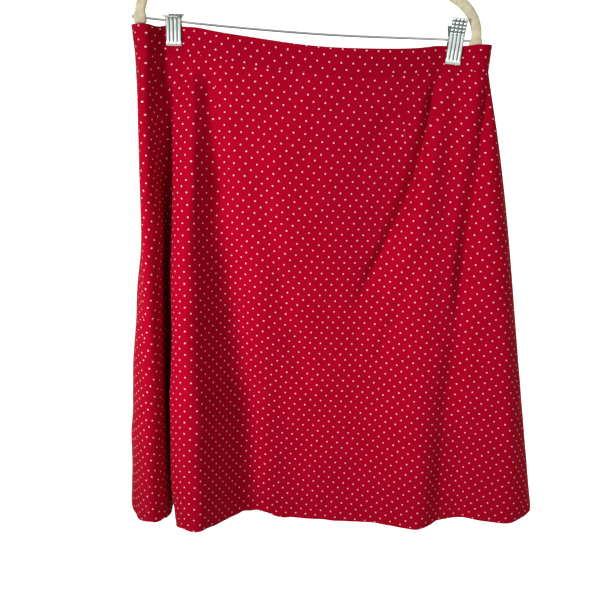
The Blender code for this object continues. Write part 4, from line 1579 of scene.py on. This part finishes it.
def cotton(name, shift_across, shift_down, turn, shade=1.0):
    """Pin-dot cotton, whose dots start at this place on the cloth's own map.

    The ground's two dyes are both multiplied by the last value; under 1 it paints shade into the
    colour.
    """
    dyes = [tuple(shade * part for part in dye) for dye in CRIMSON]
    cloth = mottled(
        name, dyes, scale=28.0, amount=0.35, rough=(0.72, 0.82), relief=(0.9 * MM, 0.5), grain=True,
        Specular_IOR_Level=0.02, Specular_Tint=(1.0, 0.05, 0.1),
        Sheen_Weight=0.05, Sheen_Roughness=0.5, Sheen_Tint=(1.0, 0.02, 0.08),
    )
    tree = cloth.tree
    dots = placed_group(
        tree, DOTS, cloth.place, Pitch_Across=DOT_PITCH_ACROSS, Pitch_Down=DOT_PITCH_DOWN,
        Radius=DOT_RADIUS, Shift_Across=shift_across, Shift_Down=shift_down, Turn=turn,
    ).outputs["Mask"]
    dotted = mixed(tree, dots, cloth.patches["Colour"], DOT_WHITE)
    feed(tree, cloth.shader["Base Color"], dotted)
    threads = placed_group(tree, WEAVE, cloth.place).outputs["Height"]
    crumple = noise_node(tree, cloth.place, 55.0, detail=3.0, roughness=0.55).outputs["Fac"]
    raised = math_node(tree, "MULTIPLY", dots, DOT_RAISED)
    fine = math_node(tree, "MULTIPLY_ADD", threads, THREAD_RAISED, raised)
    height = math_node(tree, "MULTIPLY_ADD", crumple, CRUMPLE_RAISED, fine)
    feed(tree, cloth.bump.inputs["Height"], height)
    return cloth.material


def plated_steel(name, colours, paint_groove_shade=False):
    """Plated steel, a little hazy, with fine scratches; grooves are rougher, with painted shade."""
    plate = mottled(
        name, colours, scale=70.0, amount=0.5, rough=(0.28, 0.36), relief=(0.004 * MM, 0.3),
        nap=(2400.0, 2.0, 0.6), Metallic=1.0,
    )
    if paint_groove_shade:
        # Painted shade: where the map says the steel lies deep between the ribs, its colour is
        # mixed to dark.
        depth = node(plate.tree, "SeparateXYZ", {0: grain_of(plate.tree)}).outputs["X"]
        hollow = soft_range(plate.tree, depth, *GROOVE_SHADE_EDGES, 0.0, 1.0)
        colour = mixed(plate.tree, hollow, plate.patches["Colour"], GROOVE_PAINTED_SHADE)
        dull = math_node(plate.tree, "MULTIPLY_ADD", hollow, GROOVE_DULL, plate.rough)
        feed(plate.tree, plate.shader["Base Color"], colour)
        feed(plate.tree, plate.shader["Roughness"], dull)
    return plate.material


panel_cotton = cotton("crimson_cotton", 1.35 * MM, -5.1 * MM, turn=0.0)
# Painted shade: the waistband's cotton is the panels' cotton made darker.
band_cotton = cotton(
    "crimson_waistband", -4.35 * MM, 0.76 * MM, turn=math.radians(-1.6), shade=0.93
)
cream_flock = mottled(
    "cream_flock", FLOCK, scale=120.0, amount=0.7, rough=(0.88, 1.0), relief=(0.35 * MM, 0.7),
    nap=(2600.0, 2.0, 0.7), Specular_IOR_Level=0.1, Sheen_Weight=0.5, Sheen_Roughness=0.35,
).material
steel = plated_steel("bright_steel", STEEL)
# The clip plates' steel, with painted shade in its grooves.
ribbed_steel = plated_steel("ribbed_steel", STEEL, paint_groove_shade=True)
wire_steel = plated_steel("wire_steel", WIRE)
crimson_thread = mottled(
    "crimson_thread", CRIMSON, scale=400.0, amount=0.8, rough=(0.55, 0.7),
    relief=(0.05 * MM, 0.6), nap=(5200.0, 1.0, 0.5), Specular_IOR_Level=0.2,
).material
print("materials:", [made.name for made in bpy.data.materials if made.users == 0])

# %% [markdown]
# ## A plain studio
#
# White paper runs from the floor up behind the object in one soft sweep, and glows a little
# so that it stays white. A soft spot lamp to the left and in front gives the folds their
# bright and dark sides and fades towards the waist and the hem, and a weak wide lamp fills
# the right. The sky is white for the camera, less bright in metal, and dimmer and warmer
# again as a light on cloth.

# %% Stage and lights
FLOOR_LEVEL = -1.2
WALL_AT = 1.85
SWEEP_RADIUS = 0.06
STAGE_HALF = 6.0
STAGE_FRONT = -4.0
STAGE_TOP = 5.0
SWEEP_POINTS = 9
PAPER_GLOW = 1.0
SKY_FOR_CAMERA = 1.0
SKY_AS_LIGHT = 0.35
SKY_IN_METAL = 0.75
SKY_WARMTH = (1.0, 0.94, 0.76)
SPOT_ANGLE = math.radians(46)
# Places and sizes are in metres, the power in watts.
Lamp = namedtuple("Lamp", "name kind place aim size power")
LAMPS = (
    Lamp("key", "SPOT", (-0.98, -1.02, -0.38), (-0.03, 0.0, -0.475), 0.42, 82),
    Lamp("fill", "AREA", (1.2, -1.8, -0.2), (0.0, 0.0, -0.5), 1.4, 7),
)


def paper_sweep():
    """Floor, a quarter circle and a wall, as one line carried from left to right."""
    turn = np.linspace(0, np.pi / 2, SWEEP_POINTS)
    bend_y = WALL_AT - SWEEP_RADIUS + SWEEP_RADIUS * np.sin(turn)
    bend_z = FLOOR_LEVEL + SWEEP_RADIUS - SWEEP_RADIUS * np.cos(turn)
    y = np.concatenate([[STAGE_FRONT], bend_y, [WALL_AT]])
    z = np.concatenate([[FLOOR_LEVEL], bend_z, [STAGE_TOP]])
    x = np.array([-STAGE_HALF, STAGE_HALF])
    grid = np.stack(np.broadcast_arrays(x[None], y[:, None], z[:, None]), axis=-1)
    number = np.arange(grid[..., 0].size).reshape(grid.shape[:2])
    return mesh_piece("paper_sweep", grid.reshape(-1, 3), grid_quads(number))


def set_lamp(lamp):
    """Puts a lamp at its place, turned to face its aim."""
    light = bpy.data.lights.new(lamp.name, lamp.kind)
    light.energy = lamp.power
    if lamp.kind == "AREA":
        light.shape = "SQUARE"
        light.size = lamp.size
    else:
        light.shadow_soft_size = lamp.size / 2
        light.spot_size = SPOT_ANGLE
        light.spot_blend = 1.0
    made = bpy.data.objects.new(lamp.name, light)
    made.location = lamp.place
    x, y, z = np.array(lamp.aim) - np.array(lamp.place)
    made.rotation_euler = (math.atan2(math.hypot(x, y), -z), 0, math.atan2(-x, y))
    bpy.context.scene.collection.objects.link(made)


sweep = paper_sweep()
paper = mottled(
    "white_paper", PAPER, scale=2.0, amount=0.3, Roughness=0.9, Emission_Color=(1, 1, 1),
    Emission_Strength=PAPER_GLOW,
)
sweep.data.materials.append(paper.material)
sweep.visible_diffuse = False
sweep.visible_shadow = False
sweep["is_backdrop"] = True
for lamp in LAMPS:
    set_lamp(lamp)

world = bpy.data.worlds.new("pale_sky")
bpy.context.scene.world = world
world.use_nodes = True
air = world.node_tree
rays = node(air, "LightPath", {}).outputs
light = soft_range(air, rays["Is Glossy Ray"], 0.0, 1.0, SKY_AS_LIGHT, SKY_IN_METAL)
level = soft_range(air, rays["Is Camera Ray"], 0.0, 1.0, light, SKY_FOR_CAMERA)
tint = mixed(air, rays["Is Diffuse Ray"], (1, 1, 1), SKY_WARMTH)
feed_named(air, air.nodes["Background"].inputs, {"Strength": level, "Color": tint})
bpy.context.scene.view_settings.view_transform = "Standard"

# %% [markdown]
# ## Everything rides on the frame
#
# Each piece takes its material, rides on the one body and stands for its plain solid, which
# is hidden. A panel is part of a ring, so its flat area is less than its width times its
# length.

pieces = [
    (skirt_front, "front_panel", "panel_cloth", panel_cotton),
    (skirt_back, "back_panel", "panel_cloth", panel_cotton),
    (band_front, "waistband_front", "band_cloth", band_cotton),
    (band_back, "waistband_back", "band_cloth", band_cotton),
    (hanger_arms, "hanger_body", "flock", cream_flock),
    (crossbar, "hanger_rod", "bright_steel", wire_steel),
    (wire_hook, "hook", "bright_steel", steel),
    (collar, "hook_collar", "bright_steel", steel),
]
for piece, solid in clip_pieces:
    finish = ribbed_steel if "plate" in piece.name else steel
    pieces.append((piece, solid, "bright_steel", finish))
for piece, solid, slot, material in pieces:
    piece.data.materials.append(material)
    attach(piece, "root")
    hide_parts(solid)
for piece in (stitches_front, stitches_back):
    piece.data.materials.append(crimson_thread)
    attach(piece, "root")

# %% The two boxes
low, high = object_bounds()
grown = [max(cad_low[i] - low[i], high[i] - cad_high[i]) / MM for i in range(3)]
print("the visual box reaches past the frame's by, in mm:", [round(g, 1) for g in grown])
